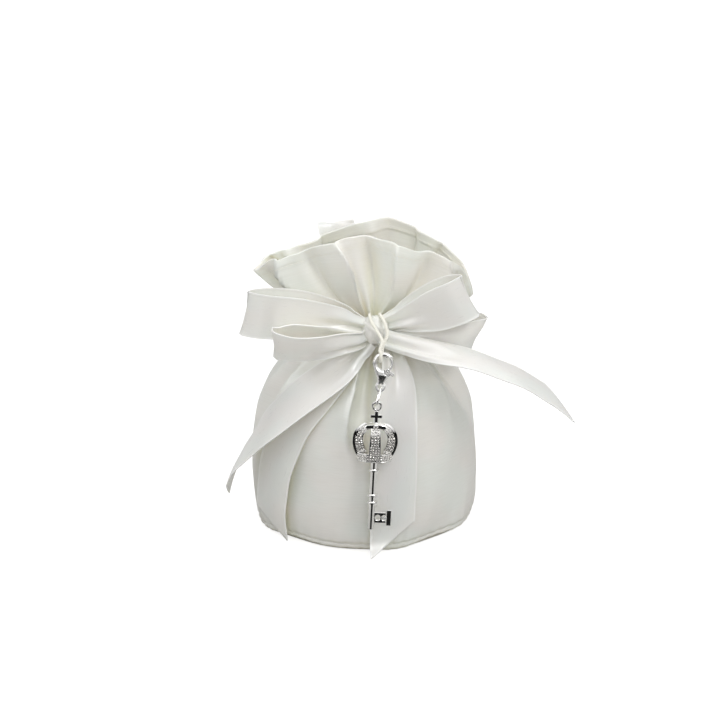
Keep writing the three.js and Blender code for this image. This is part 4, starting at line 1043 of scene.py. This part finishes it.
def line_frame(line, closed=False):
    """Two directions square to a line at each of its points, carried along it without twist."""
    if closed:
        tangents = unit(np.roll(line, -1, axis=0) - np.roll(line, 1, axis=0))
    else:
        tangents = unit(np.gradient(line, axis=0))
    normal = np.cross(tangents[0], [0.3, 0.1, 0.9])
    normals = []
    for tangent in tangents:
        normal = unit(normal - tangent * (normal @ tangent))
        normals.append(normal)
    normals = np.array(normals)
    return normals, np.cross(tangents, normals)


def capped_faces(rows, columns):
    """The faces between closed rings, with a cap at each end."""
    caps = [tuple(range(columns))[::-1], tuple(range((rows - 1) * columns, rows * columns))]
    return grid_faces(rows, columns, closed=True) + caps


def tube(line, radius, sides, closed=False):
    """Points and faces of a round tube along a line."""
    line = np.asarray(line, float)
    normals, binormals = (directions[:, None] for directions in line_frame(line, closed))
    turn = full_turn(sides)[None, :, None]
    points = line[:, None] + radius * (normals * np.cos(turn) + binormals * np.sin(turn))
    if not closed:
        return points, capped_faces(len(line), sides)
    last = (len(line) - 1) * sides
    ends = [(last + j, last + (j + 1) % sides, (j + 1) % sides, j) for j in range(sides)]
    return points, grid_faces(len(line), sides, closed=True) + ends


clasp_frame = charm_matrix(**CLASP_PLACE)
cord_stations = [*CORD_FRONT_RUN, *in_frame(clasp_frame, CORD_BEND).tolist(), *CORD_BACK_RUN]
_, cord_fine, cord_way = smooth_line(cord_stations)
cord_length = cord_way[-1]
cord_at = np.linspace(0, cord_length, CORD_POINTS)
cord_line = at_ways(cord_at, cord_way, cord_fine)
cord_normals, cord_binormals = line_frame(cord_line)
strands = []
for k in range(STRANDS):
    turn = 2 * np.pi * (cord_at / TWIST_PITCH + k / STRANDS)
    offset = cord_normals * np.cos(turn)[:, None] + cord_binormals * np.sin(turn)[:, None]
    strands.append(tube(cord_line + STRAND_OFFSET * offset, STRAND_RADIUS, CORD_SIDES))
cord = piece_of("twisted_cord", *joined(strands), thread)
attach(cord, "pouch_and_charm")
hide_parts("charm_cord")

# The lobster clasp
# A small claw cast in zinc and silver plated. Its body is domed towards the edges, with an eye at the foot,
# and its lever turns on a rivet. Both are the model's own solids, rounded as a casting is.
CLASP_VOXEL = 0.085
CLASP_SMOOTH = 9
CLASP_TAPER = dict(top=-4.3, foot=-7.0, thinner=0.6)
CLASP_FOOT = ((-0.95, -7.2), (0.95, -7.2), (3.0, -3.4))
CASTING_SWELL = 0.1
DOME_WIDTH = 1.3
DOME_EDGE = 0.12  # how far inside its edge the dome counts as begun
HOOK_OUTSIDE = 3.65
HOOK_INSIDE = 2.3
LEVER = dict(voxel=0.05, outside=3.5, inside=2.4, start=-38, end=66, dome=0.55, middle_y=-0.1)


def silver_material(name, smoothest, roughest):
    material, tree, surface = new_material(name)
    place = add_node(tree, "ShaderNodeTexCoord").outputs["Object"]
    cloud = noise_of(tree, place, scale=420.0, detail=3.0)
    grain = noise_of(tree, place, scale=5200.0, detail=2.0)
    bump = add_node(tree, "ShaderNodeBump", {"Strength": 0.12, "Distance": 0.02 * MM, "Height": grain})
    finish = {
        "Base Color": mixed(tree, cloud, (0.86, 0.855, 0.84, 1), (0.95, 0.945, 0.93, 1)),
        "Roughness": ramped(tree, cloud, 0.3, 0.75, smoothest, roughest),
        "Normal": bump.outputs["Normal"],
        "Metallic": 1.0,
    }
    set_inputs(tree, surface, finish)
    return material


silver = silver_material("silver_plate", 0.05, 0.14)
brushed_silver = silver_material("brushed_silver_plate", 0.2, 0.3)


def casting_of(node, name, voxel, smoothing, swell=0.0):
    """A copy of a model node's solid with its edges rounded, as a casting's are."""
    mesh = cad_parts[node].data.copy()
    welded = bmesh.new()
    welded.from_mesh(mesh)
    bmesh.ops.remove_doubles(welded, verts=welded.verts, dist=1e-6)
    welded.to_mesh(mesh)
    welded.free()
    made = placed(name, mesh)
    remesh = made.modifiers.new("casting", "REMESH")
    remesh.mode = "VOXEL"
    remesh.voxel_size = voxel * MM
    rounding = made.modifiers.new("rounding", "SMOOTH")
    rounding.factor = 0.5
    rounding.iterations = smoothing
    if swell:
        swelling = made.modifiers.new("swell", "DISPLACE")
        swelling.strength = swell * MM
        swelling.mid_level = 0.0
    made_plain(made)
    finished = made.data
    finished.name = name
    finished.materials.clear()
    finished.materials.append(brushed_silver)
    finished.polygons.foreach_set("use_smooth", [True] * len(finished.polygons))
    return made


def domed(piece, matrix, outline, width, middle_y, taper=None):
    """Rounds a flat casting towards its outline, seen from its front, and thins it towards its foot."""
    mesh = piece.data
    points = np.zeros(len(mesh.vertices) * 3)
    mesh.vertices.foreach_get("co", points)
    local = in_frame(matrix.inverted(), points.reshape(-1, 3) / MM)
    flat = local[:, [0, 2]]
    start, end = outline, np.roll(outline, -1, axis=0)
    run = end - start
    share = ((flat[:, None] - start) * run).sum(-1) / np.maximum((run * run).sum(-1), 1e-9)
    nearest = start + np.clip(share, 0, 1)[..., None] * run
    inset = np.linalg.norm(flat[:, None] - nearest, axis=-1).min(axis=1)
    begun = np.clip((inset + DOME_EDGE) / width, 0, 1)
    level = np.sqrt(np.maximum(1 - (1 - begun) ** 2, 0))
    if taper is not None:
        down = (taper["top"] - local[:, 2]) / (taper["top"] - taper["foot"])
        level = level * (1 - taper["thinner"] * np.clip(down, 0, 1))
    local[:, 1] = middle_y + (local[:, 1] - middle_y) * level
    mesh.vertices.foreach_set("co", (in_frame(matrix, local) * MM).ravel())
    mesh.update()


def arc(radius, start, end, count=40, x=0.0, z=0.0):
    """Points of an arc as seen from the front, from one angle to the other in degrees."""
    turn = np.radians(np.linspace(start, end, count))
    return np.stack([x + radius * np.cos(turn), z + radius * np.sin(turn)], axis=-1)


hook_outline = [arc(HOOK_OUTSIDE, 28, 212), CLASP_FOOT, arc(HOOK_INSIDE, -32, -332, 60)]
clasp = casting_of("clasp_body", "clasp_casting", CLASP_VOXEL, CLASP_SMOOTH, CASTING_SWELL)
domed(clasp, clasp_frame, np.vstack(hook_outline), DOME_WIDTH, 0.0, CLASP_TAPER)
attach(clasp, "pouch_and_charm")
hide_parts("clasp_body")
lever = casting_of("clasp_lever", "clasp_lever_casting", LEVER["voxel"], CLASP_SMOOTH)
lever_outside = arc(LEVER["outside"], LEVER["start"], LEVER["end"])
lever_inside = arc(LEVER["inside"], LEVER["end"], LEVER["start"])
domed(lever, clasp_frame, np.vstack([lever_outside, lever_inside]), LEVER["dome"], LEVER["middle_y"])
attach(lever, "lever")
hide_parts("clasp_lever")

# The link
# One oval link of round silver wire, bent to shape and closed. It hangs in the clasp's eye and carries the
# key's eye, and is seen edge-on from the front.
LINK_WIRE = 0.34
LINK_SIDES = 14
LINK_END_POINTS = 24
LINK_HALF_WIDTH = 1.8
LINK_GAP = 0.3
CLASP_EYE = dict(z=-8.1, radius=1.35, half_depth=0.45)
KEY_EYE = dict(ring=1.45, wire=0.42)
KEY_PLACE = dict(at=(4.3, -40, 57.4), lean_back=5, lean_left=2.6)
key_frame = charm_matrix(**KEY_PLACE)
upper = in_frame(clasp_frame, [(0, 0, CLASP_EYE["z"] - CLASP_EYE["radius"])])[0]
lower = in_frame(key_frame, [(0, 0, KEY_EYE["ring"])])[0]
down = unit(lower - upper)
upper = upper - down * (CLASP_EYE["half_depth"] + LINK_GAP + LINK_WIRE)
lower = lower + down * (KEY_EYE["wire"] + LINK_GAP + LINK_WIRE)
straight = np.linalg.norm(lower - upper) / 2 - LINK_HALF_WIDTH
sideways = unit(np.array([0, -1, 0]) + down * down[1])
link_line = []
for end in (-1, 1):
    for turn in np.linspace(0, np.pi, LINK_END_POINTS):
        out = end * LINK_HALF_WIDTH * math.cos(turn)
        on = end * (straight + LINK_HALF_WIDTH * math.sin(turn))
        link_line.append((upper + lower) / 2 + sideways * out + down * on)
link = piece_of("oval_link", *tube(link_line, LINK_WIRE, LINK_SIDES, closed=True), silver)
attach(link, "pouch_and_charm")
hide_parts("chain_link")

# The key
# A crowned key cast in one piece and silver plated: eye, cross, a crown of three open arches on a band, a
# turned shaft with collars, and a bit with two round holes. The arches and the band are trays for stones.
KEY_BACK = 1.3
EDGE = 0.13  # rounding of the cast edges
SHARP_ANGLE = 29
EYE_POINTS = 56
WIRE_SIDES = 16
# The cross from its left foot up its right side, which its left side mirrors
CROSS_HALF = [(-0.6, -6.6), (0.6, -6.6), (0.6, -4.2), (2.0, -4.2), (2.0, -3.0), (0.6, -3.0), (0.6, -1.7)]
CROSS_HALF_DEPTH = 0.55
CROWN = dict(top=-6.5, foot=-20.0, depth_share=0.56, wall=0.9, arch_taper=0.4)
CROWN_BAND = dict(height=3.0, radius=6.3)
CROWN_FLOOR = dict(radius=5.6, foot=-19.7, top=-18.9)
CROWN_CAP = dict(radius=3.4, thickness=0.9)
CROWN_BOSS = dict(radius=0.95, at=(0, -1.2, -6.9), levels=14, around=24)
CAP_SEGMENT = ((0.75, -7.75), (3.1, -7.95), (3.8, -7.3), (3.1, -6.55), (0.75, -6.3))
CAP_SEGMENT_FACES = (-1.6, -0.5)
HALF_OVAL_POINTS = 40
PLATE_BACK_IN = 0.1  # of the cap's and the floor's back from the crown's
BAND_RIM = 0.28
TRAY_DEPTH = 0.28
TRAY_BEVEL = 0.08
TRAY_SLOPE = 0.06
# Each arch: its angle round the crown, the way it faces, its width, and its two polished borders
ARCHES = (
    dict(angle=-64, facing=-7, inset=1.3, width=4.0, left_rim=1.0, right_rim=0.25),
    dict(angle=0, facing=0, inset=0.0, width=4.2, left_rim=0.3, right_rim=0.3),
    dict(angle=64, facing=7, inset=1.3, width=4.0, left_rim=0.25, right_rim=1.0),
)
ARCH_ROWS = ((6, -18), (7.3, -15.4), (8, -12.6), (7.4, -9.6), (5, -7.5), (1.4, -6.9))  # out and height
ARCH_LEAST_OUT = 1.2
SHAFT_RADIUS = 1.2
SHAFT_FOOT = -45.0
SHAFT_COLLARS = ((-23.2, 1.9, 1.1), (-32.4, 1.9, 1.1), (-35.1, 1.9, 1.1))  # middle, radius and height
SHAFT_SIDES = 48
SHAFT_INTO_CROWN = 0.6
SHAFT_END_ROUND = 0.35
SHAFT_END_CORNER = 0.1
COLLAR_FILLET = 0.05
COLLAR_POINTS = 9
BIT_MIDDLE = -40.65
BIT_HOLE = 1.0
BIT_HOLE_POINTS = 29
BIT_HOLE_X = 2.2
BIT_NOTCH_X = 4.45
BIT_NOTCH_HALF = 58  # degrees either side of the notch's opening
BIT_BAR = dict(radius=0.4, left=3.2, right=5.6)
BIT_SPAN = dict(left=0.6, right=4.95, foot=-42.6, top=-38.7)
BIT_END = ((5.3, -43.5), (6.9, -43.5), (6.9, -37.7), (5.3, -37.7))
BIT_HALF_DEPTH = 0.6


def plate(outlines, front, back):
    """A flat casting from outlines seen from the front, the first outside and the rest holes."""
    curve = bpy.data.curves.new("outline", "CURVE")
    curve.dimensions = "2D"
    curve.fill_mode = "BOTH"
    curve.extrude = (back - front) / 2 - EDGE
    curve.bevel_depth = EDGE
    curve.bevel_resolution = 0
    curve.offset = -EDGE
    for outline in outlines:
        spline = curve.splines.new("POLY")
        spline.points.add(len(outline) - 1)
        for point, (x, z) in zip(spline.points, outline):
            point.co = (x, z, 0, 1)
        spline.use_cyclic_u = True
    holder = bpy.data.objects.new("outline", curve)
    mesh = bpy.data.meshes.new_from_object(holder)
    points = np.array([v.co for v in mesh.vertices])
    faces = [tuple(p.vertices) for p in mesh.polygons]
    bpy.data.objects.remove(holder)
    bpy.data.curves.remove(curve)
    bpy.data.meshes.remove(mesh)
    points = np.stack([points[:, 0], (front + back) / 2 - points[:, 2], points[:, 1]], axis=-1)
    return points, faces


def crown_point(angle, out, z):
    turn = np.radians(angle)
    y = KEY_BACK - out * CROWN["depth_share"] * np.cos(turn)
    return np.stack(np.broadcast_arrays(out * np.sin(turn), y, z), axis=-1)


def tray(places, sides, outs, halves, way, left_rim, right_rim):
    """A swept tray, closed at both ends: its rims stand at both edges, and its floor lies deeper."""
    rings = []
    for place, side, out, half in zip(places, sides, outs, halves):
        share = half / halves[0]
        left, right = left_rim * share - half, half - right_rim * share
        section = (
            (-half, -CROWN["wall"]),
            (-half, -TRAY_BEVEL),
            (-half + TRAY_BEVEL, 0.0),
            (left - TRAY_SLOPE, 0.0),
            (left, -TRAY_DEPTH),
            (right, -TRAY_DEPTH),
            (right + TRAY_SLOPE, 0.0),
            (half - TRAY_BEVEL, 0.0),
            (half, -TRAY_BEVEL),
            (half, -CROWN["wall"]),
        )
        rings.append([place + side * a + out * b for a, b in section])
    return rings, capped_faces(len(rings), len(section))


def arch_frames(angle, facing, inset, width, count=44):
    """Places along one arch, its directions across and outwards, its half width and the way along it."""
    stations = [crown_point(angle, max(out - inset, ARCH_LEAST_OUT), z) for out, z in ARCH_ROWS]
    _, fine, way = smooth_line(stations)
    at = np.linspace(0, way[-1], count)
    places = at_ways(at, way, fine)
    tangents = unit(np.gradient(places, axis=0))
    across = np.array([math.cos(math.radians(facing)), math.sin(math.radians(facing)), 0.0])
    sides = unit(across - tangents * (tangents @ across)[:, None])
    share = at / way[-1]
    halves = width / 2 * (1 - CROWN["arch_taper"] * share**2)
    return places, sides, np.cross(sides, tangents), halves, at


def band_frames(count=60):
    """The same for the band round the crown's foot, from the left end to the right."""
    angles = np.linspace(-90, 90, count)
    middle = CROWN["foot"] + CROWN_BAND["height"] / 2
    places = crown_point(angles, CROWN_BAND["radius"], middle)
    tangents = unit(np.gradient(places, axis=0))
    sides = np.tile([0.0, 0.0, 1.0], (count, 1))
    outs, halves = np.cross(tangents, sides), np.full(count, CROWN_BAND["height"] / 2)
    return places, sides, outs, halves, way_along(places)


def turned_shaft():
    """The shaft and its collars, turned round the key's long axis, with rounded ends to each collar."""
    profile = [
        (0.0, SHAFT_FOOT),
        (SHAFT_RADIUS - SHAFT_END_ROUND, SHAFT_FOOT),
        (SHAFT_RADIUS - SHAFT_END_CORNER, SHAFT_FOOT + SHAFT_END_CORNER),
        (SHAFT_RADIUS, SHAFT_FOOT + SHAFT_END_ROUND),
    ]
    for z, radius, height in SHAFT_COLLARS[::-1]:
        profile.append((SHAFT_RADIUS, z - height / 2 - COLLAR_FILLET))
        for turn in np.linspace(-1, 1, COLLAR_POINTS):
            swell = SHAFT_RADIUS + (radius - SHAFT_RADIUS) * math.sqrt(max(0.0, 1 - turn**4))
            profile.append((swell, z + turn * height / 2))
        profile.append((SHAFT_RADIUS, z + height / 2 + COLLAR_FILLET))
    shaft_top = CROWN["foot"] + SHAFT_INTO_CROWN
    profile += [(SHAFT_RADIUS, shaft_top), (0.0, shaft_top)]
    turn = full_turn(SHAFT_SIDES)
    c, s = np.cos(turn), np.sin(turn)
    rings = [(radius * c, radius * s, np.full(SHAFT_SIDES, z)) for radius, z in profile]
    points = np.concatenate([np.stack(ring, axis=-1) for ring in rings])
    return points, grid_faces(len(rings), SHAFT_SIDES, closed=True)


def half_oval_plate(radius, foot, top):
    """A flat half oval of the crown, with a rounded rim."""
    turn = np.radians(np.linspace(-90, 90, HALF_OVAL_POINTS))
    rings = []
    for inset, z in ((EDGE, foot), (0, foot + EDGE), (0, top - EDGE), (EDGE, top)):
        x = (radius - inset) * np.sin(turn)
        y = KEY_BACK - PLATE_BACK_IN - (radius * CROWN["depth_share"] - inset) * np.cos(turn)
        rings.append(np.stack([x, y, np.full(HALF_OVAL_POINTS, z)], axis=-1))
    return np.concatenate(rings), capped_faces(len(rings), HALF_OVAL_POINTS)


eye_turn = full_turn(EYE_POINTS)
eye_line = np.stack([np.sin(eye_turn), 0 * eye_turn, np.cos(eye_turn)], axis=-1) * KEY_EYE["ring"]
cross_outline = CROSS_HALF + [(-x, z) for x, z in CROSS_HALF[::-1]]
trays = []
for arch in ARCHES:
    frames = arch_frames(arch["angle"], arch["facing"], arch["inset"], arch["width"])
    trays.append((*frames, arch["left_rim"], arch["right_rim"]))
trays.append((*band_frames(), BAND_RIM, BAND_RIM))
bit_hole = arc(BIT_HOLE, 360, 0, BIT_HOLE_POINTS, BIT_HOLE_X, BIT_MIDDLE)[:-1]
bit_notch = arc(BIT_HOLE, -BIT_NOTCH_HALF, BIT_NOTCH_HALF - 360, BIT_HOLE_POINTS, BIT_NOTCH_X, BIT_MIDDLE)
bit_outline = [
    (BIT_SPAN["left"], BIT_SPAN["foot"]),
    (BIT_SPAN["right"], BIT_SPAN["foot"]),
    *bit_notch.tolist(),
    (BIT_SPAN["right"], BIT_SPAN["top"]),
    (BIT_SPAN["left"], BIT_SPAN["top"]),
]
bit_bar = np.linspace((BIT_BAR["left"], 0, BIT_MIDDLE), (BIT_BAR["right"], 0, BIT_MIDDLE), 4)
boss, _, _ = ball(CROWN_BOSS["levels"], CROWN_BOSS["around"])
boss_faces = grid_faces(CROWN_BOSS["levels"], CROWN_BOSS["around"], closed=True)
key_parts = [
    tube(eye_line, KEY_EYE["wire"], WIRE_SIDES, closed=True),
    plate([cross_outline], -CROSS_HALF_DEPTH, CROSS_HALF_DEPTH),
    half_oval_plate(CROWN_CAP["radius"], CROWN["top"] - CROWN_CAP["thickness"], CROWN["top"]),
    *(tray(*one) for one in trays),
    *(plate([[(end * x, z) for x, z in CAP_SEGMENT]], *CAP_SEGMENT_FACES) for end in (-1, 1)),
    (boss * CROWN_BOSS["radius"] + np.array(CROWN_BOSS["at"]), boss_faces),
    half_oval_plate(**CROWN_FLOOR),
    turned_shaft(),
    plate([bit_outline, bit_hole], -BIT_HALF_DEPTH, BIT_HALF_DEPTH),
    tube(bit_bar, BIT_BAR["radius"], WIRE_SIDES),
    plate([BIT_END], -BIT_HALF_DEPTH, BIT_HALF_DEPTH),
]
key_points, key_faces = joined(key_parts)
key = piece_of("crown_key", in_frame(key_frame, key_points), key_faces, silver)
key.data.set_sharp_from_angle(angle=math.radians(SHARP_ANGLE))
key_bm = bmesh.new()
key_bm.from_mesh(key.data)
bmesh.ops.recalc_face_normals(key_bm, faces=key_bm.faces)
key_bm.to_mesh(key.data)
key_bm.free()
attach(key, "pouch_and_charm")
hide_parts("key")

# The crown's stones
# Small clear rhinestones with foil backs, set in rows in the trays of the arches and the band, with a
# silver bead between each four.
STONE_RADIUS = 0.44
STONE_PITCH = 0.93
STONE_TILT = 0.3
STONE_RISE = 0.1  # of a stone's and a bead's place over the tray's floor
BEAD_RISE = 0.14
BEAD_RADIUS = 0.13
BARE_ENDS = 0.8


def set_stones(places, sides, outs, halves, way, left_rim, right_rim):
    """Places and directions of stones and of the beads between them on one tray."""
    stones, beads = [], []
    run = way[-1] - 2 * BARE_ENDS
    rows = int(run / STONE_PITCH)
    for row in range(rows + 1):
        at = BARE_ENDS + row * run / rows
        place, side, out = (at_ways(at, way, values) for values in (places, sides, outs))
        half = np.interp(at, way, halves)
        share = half / halves[0]
        room = 2 * half - (left_rim + right_rim) * share
        across = max(1, int(room / STONE_PITCH + 0.3))
        spots = (np.arange(across) - (across - 1) / 2) * min(STONE_PITCH, room / across)
        spots = spots + (left_rim - right_rim) * share / 2
        stones += [(place + side * s - out * (TRAY_DEPTH - STONE_RISE), out) for s in spots]
        if row < rows:
            place = at_ways(at + STONE_PITCH / 2, way, places)
            gaps = np.concatenate([spots - STONE_PITCH / 2, spots[-1:] + STONE_PITCH / 2])
            beads += [(place + side * s - out * (TRAY_DEPTH - BEAD_RISE), out) for s in gaps]
    return stones, beads


def seeds_of(name, places):
    """A mesh of points in the model's frame, each with the direction it faces."""
    spots = in_frame(key_frame, [place for place, _ in places])
    facing = np.array([facing for _, facing in places]) @ np.array(key_frame)[:3, :3].T
    mesh = bpy.data.meshes.new(name)
    mesh.from_pydata((spots * MM).tolist(), [], [])
    mesh.attributes.new("facing", "FLOAT_VECTOR", "POINT").data.foreach_set("vector", facing.ravel())
    return mesh


def setting_tree(name, shape_of, smooth, tilt):
    """A tree that sets one small shape on each seed, facing out, turned and tilted a little at random."""
    tree, given = new_tree(name, ("Radius",))
    named = {"Name": "facing"}
    facing = add_node(tree, "GeometryNodeInputNamedAttribute", named, data_type="FLOAT_VECTOR").outputs[0]
    upright = add_node(tree, "FunctionNodeAlignRotationToVector", {"Vector": facing}, axis="Z").outputs[0]
    setting = {"Points": given["Geometry"], "Instance": shape_of(tree), "Rotation": upright}
    made = add_node(tree, "GeometryNodeInstanceOnPoints", setting).outputs[0]
    chances = {"Seed": 5, 0: (-tilt, -tilt, -math.pi), 1: (tilt, tilt, math.pi)}
    chance = add_node(tree, "FunctionNodeRandomValue", chances, data_type="FLOAT_VECTOR").outputs[0]
    turn = add_node(tree, "FunctionNodeEulerToRotation", {0: chance}).outputs[0]
    turning = {"Instances": made, "Rotation": turn}
    made = add_node(tree, "GeometryNodeRotateInstances", turning).outputs[0]
    sizing = {"Instances": made, "Scale": given["Radius"]}
    made = add_node(tree, "GeometryNodeScaleInstances", sizing).outputs[0]
    end_tree(tree, made, given["Material"], smooth)
    return tree


def cut_stone(tree):
    """A stone of radius 1: a band of eight facets over the girdle, eight more above, and a flat table."""
    lower = {"Vertices": 8, "Radius Top": 0.84, "Radius Bottom": 1.0, "Depth": 0.34}
    upper = {"Vertices": 8, "Radius Top": 0.5, "Radius Bottom": 0.86, "Depth": 0.3}
    lower_tier = add_node(tree, "GeometryNodeMeshCone", lower).outputs["Mesh"]
    upper_tier = add_node(tree, "GeometryNodeMeshCone", upper).outputs["Mesh"]
    raised = {"Geometry": upper_tier, "Translation": (0, 0, 0.32), "Rotation": (0, 0, math.radians(22.5))}
    lifted = add_node(tree, "GeometryNodeTransform", raised).outputs[0]
    both = add_node(tree, "GeometryNodeJoinGeometry")
    tree.links.new(lower_tier, both.inputs[0])
    tree.links.new(lifted, both.inputs[0])
    return both.outputs[0]


def small_bead(tree):
    round_bead = {"Segments": 8, "Rings": 5, "Radius": 1.0}
    return add_node(tree, "GeometryNodeMeshUVSphere", round_bead).outputs["Mesh"]


def rhinestone_material():
    material, tree, surface = new_material("clear_rhinestone")
    place = add_node(tree, "ShaderNodeTexCoord").outputs["Object"]
    # Painted glints: random patches of the stones' colour are brighter or duller, standing in for the
    # sparkle of their facets
    fire = noise_of(tree, place, scale=1500.0, detail=1.0)
    painted_glint = ramped(tree, fire, 0.35, 0.65, 0.0, 1.0)
    finish = {
        "Base Color": mixed(tree, painted_glint, (0.84, 0.82, 0.79, 1), (0.98, 0.965, 0.93, 1)),
        "Roughness": ramped(tree, fire, 0.3, 0.7, 0.02, 0.06),
        "Metallic": 0.85,
        "Coat Weight": 1.0,
        "Coat Roughness": 0.02,
        "Coat IOR": 1.7,
    }
    set_inputs(tree, surface, finish)
    return material


stone_places, bead_places = [], []
for one in trays:
    tray_stones, tray_beads = set_stones(*one)
    stone_places += tray_stones
    bead_places += tray_beads
stone_seeds, bead_seeds = seeds_of("stone_seeds", stone_places), seeds_of("bead_seeds", bead_places)
stone_tree = setting_tree("stone_setting", cut_stone, False, STONE_TILT)
bead_tree = setting_tree("bead_setting", small_bead, True, 0.0)
rhinestone = rhinestone_material()
crown_stones = grown("crown_stones", stone_seeds, stone_tree, rhinestone, Radius=STONE_RADIUS * MM)
crown_beads = grown("crown_beads", bead_seeds, bead_tree, silver, Radius=BEAD_RADIUS * MM)
for setting in (crown_stones, crown_beads):
    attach(setting, "pouch_and_charm")

# The studio
# A plain pale floor under a soft white sky, with one large soft light from the upper right and three weaker
# ones. Polished metal also sees a dark room behind the camera, as it does in a studio.
FLOOR_HALF = 4.0
FLOOR_DROP = 0.0002
FLOOR_GLOW = 0.73
FLOOR_COLOUR = (0.49, 0.486, 0.475, 1)
FLOOR_DARK_SPREAD = 1.7  # how fast the dark stretch of floor narrows towards the pouch
FLOOR_DARK_EDGE = (-0.055, -0.03)
DARK_ROOM_COLOUR = (0.012, 0.012, 0.012, 1)
floor_outline = ((-1, -1), (1, -1), (1, 1), (-1, 1))
floor_corners = [(x * FLOOR_HALF, y * FLOOR_HALF, -FLOOR_DROP) for x, y in floor_outline]
floor_mesh = bpy.data.meshes.new("floor")
floor_mesh.from_pydata(floor_corners, [], [(0, 1, 2, 3)])
floor = placed("floor", floor_mesh)
floor_material, floor_tree, floor_surface = new_material("pale_floor")
floor_place = add_node(floor_tree, "ShaderNodeTexCoord").outputs["Object"]
floor_place = add_node(floor_tree, "ShaderNodeSeparateXYZ", {"Vector": floor_place}).outputs
floor_seen_by = add_node(floor_tree, "ShaderNodeLightPath").outputs
floor_aside = maths(floor_tree, "ABSOLUTE", floor_place["X"])
floor_side = maths(floor_tree, "MULTIPLY", floor_aside, FLOOR_DARK_SPREAD)
floor_ahead = maths(floor_tree, "ADD", floor_place["Y"], floor_side)
floor_front = ramped(floor_tree, floor_ahead, *FLOOR_DARK_EDGE, 1.0, 0.0)
floor_dark = maths(floor_tree, "MULTIPLY", floor_front, floor_seen_by["Is Glossy Ray"])
floor_finish = {
    "Base Color": mixed(floor_tree, floor_dark, FLOOR_COLOUR, DARK_ROOM_COLOUR),
    "Roughness": 0.9,
    "Specular IOR Level": 0.0,
    "Emission Color": (1, 1, 1, 1),
    "Emission Strength": maths(floor_tree, "MULTIPLY", floor_seen_by["Is Camera Ray"], FLOOR_GLOW),
}
set_inputs(floor_tree, floor_surface, floor_finish)
floor_mesh.materials.append(floor_material)

SKY_TOP = 1.22
SKY_SIDE = 0.15
SKY_RISE = (0.05, 0.85)
DARK_ROOM_AHEAD = (-0.66, -0.8)
DARK_ROOM_HEIGHT = (0.12, 0.28)
DARK_ROOM_SHARE = 0.98
world = bpy.data.worlds.new("studio")
bpy.context.scene.world = world
world.use_nodes = True
sky = world.node_tree
sky_way = add_node(sky, "ShaderNodeTexCoord").outputs["Generated"]
sky_way = add_node(sky, "ShaderNodeSeparateXYZ", {"Vector": sky_way}).outputs
sky_seen_by = add_node(sky, "ShaderNodeLightPath").outputs
sky_level = ramped(sky, sky_way["Z"], *SKY_RISE, SKY_SIDE, SKY_TOP)
dark_room = ramped(sky, sky_way["Y"], *DARK_ROOM_AHEAD, 0.0, DARK_ROOM_SHARE)
dark_room = maths(sky, "MULTIPLY", dark_room, ramped(sky, sky_way["Z"], *DARK_ROOM_HEIGHT, 1.0, 0.0))
dark_room = maths(sky, "MULTIPLY", dark_room, sky_seen_by["Is Glossy Ray"])
sky_level = maths(sky, "MULTIPLY", sky_level, maths(sky, "SUBTRACT", 1.0, dark_room))
sky_mix = {0: sky_seen_by["Is Camera Ray"], 2: sky_level, 3: 1.0}
sky_strength = add_node(sky, "ShaderNodeMix", sky_mix, data_type="FLOAT").outputs[0]
set_inputs(sky, sky.nodes["Background"], {"Color": (1, 1, 1, 1), "Strength": sky_strength})

SOFT_LIGHTS = {
    "key_light": dict(place=(0.5, -0.4, 0.8), size=0.34, watts=1.75),
    "fill_light": dict(place=(-0.65, -0.35, 0.5), size=0.3, watts=0.35),
    "front_light": dict(place=(0.12, -0.85, 0.42), size=0.5, watts=1.35),
    "rim_light": dict(place=(-0.5, 0.55, 0.6), size=0.4, watts=0.6),
}
for name, light in SOFT_LIGHTS.items():
    lamp = placed(name, bpy.data.lights.new(name, "AREA"))
    lamp.data.size = light["size"]
    lamp.data.energy = light["watts"]
    lamp.location = light["place"]
    lamp.rotation_euler = (CAMERA_AIM - Vector(light["place"])).to_track_quat("-Z", "Y").to_euler()
    lamp.visible_glossy = name != "front_light"
bpy.context.scene.view_settings.view_transform = "Standard"
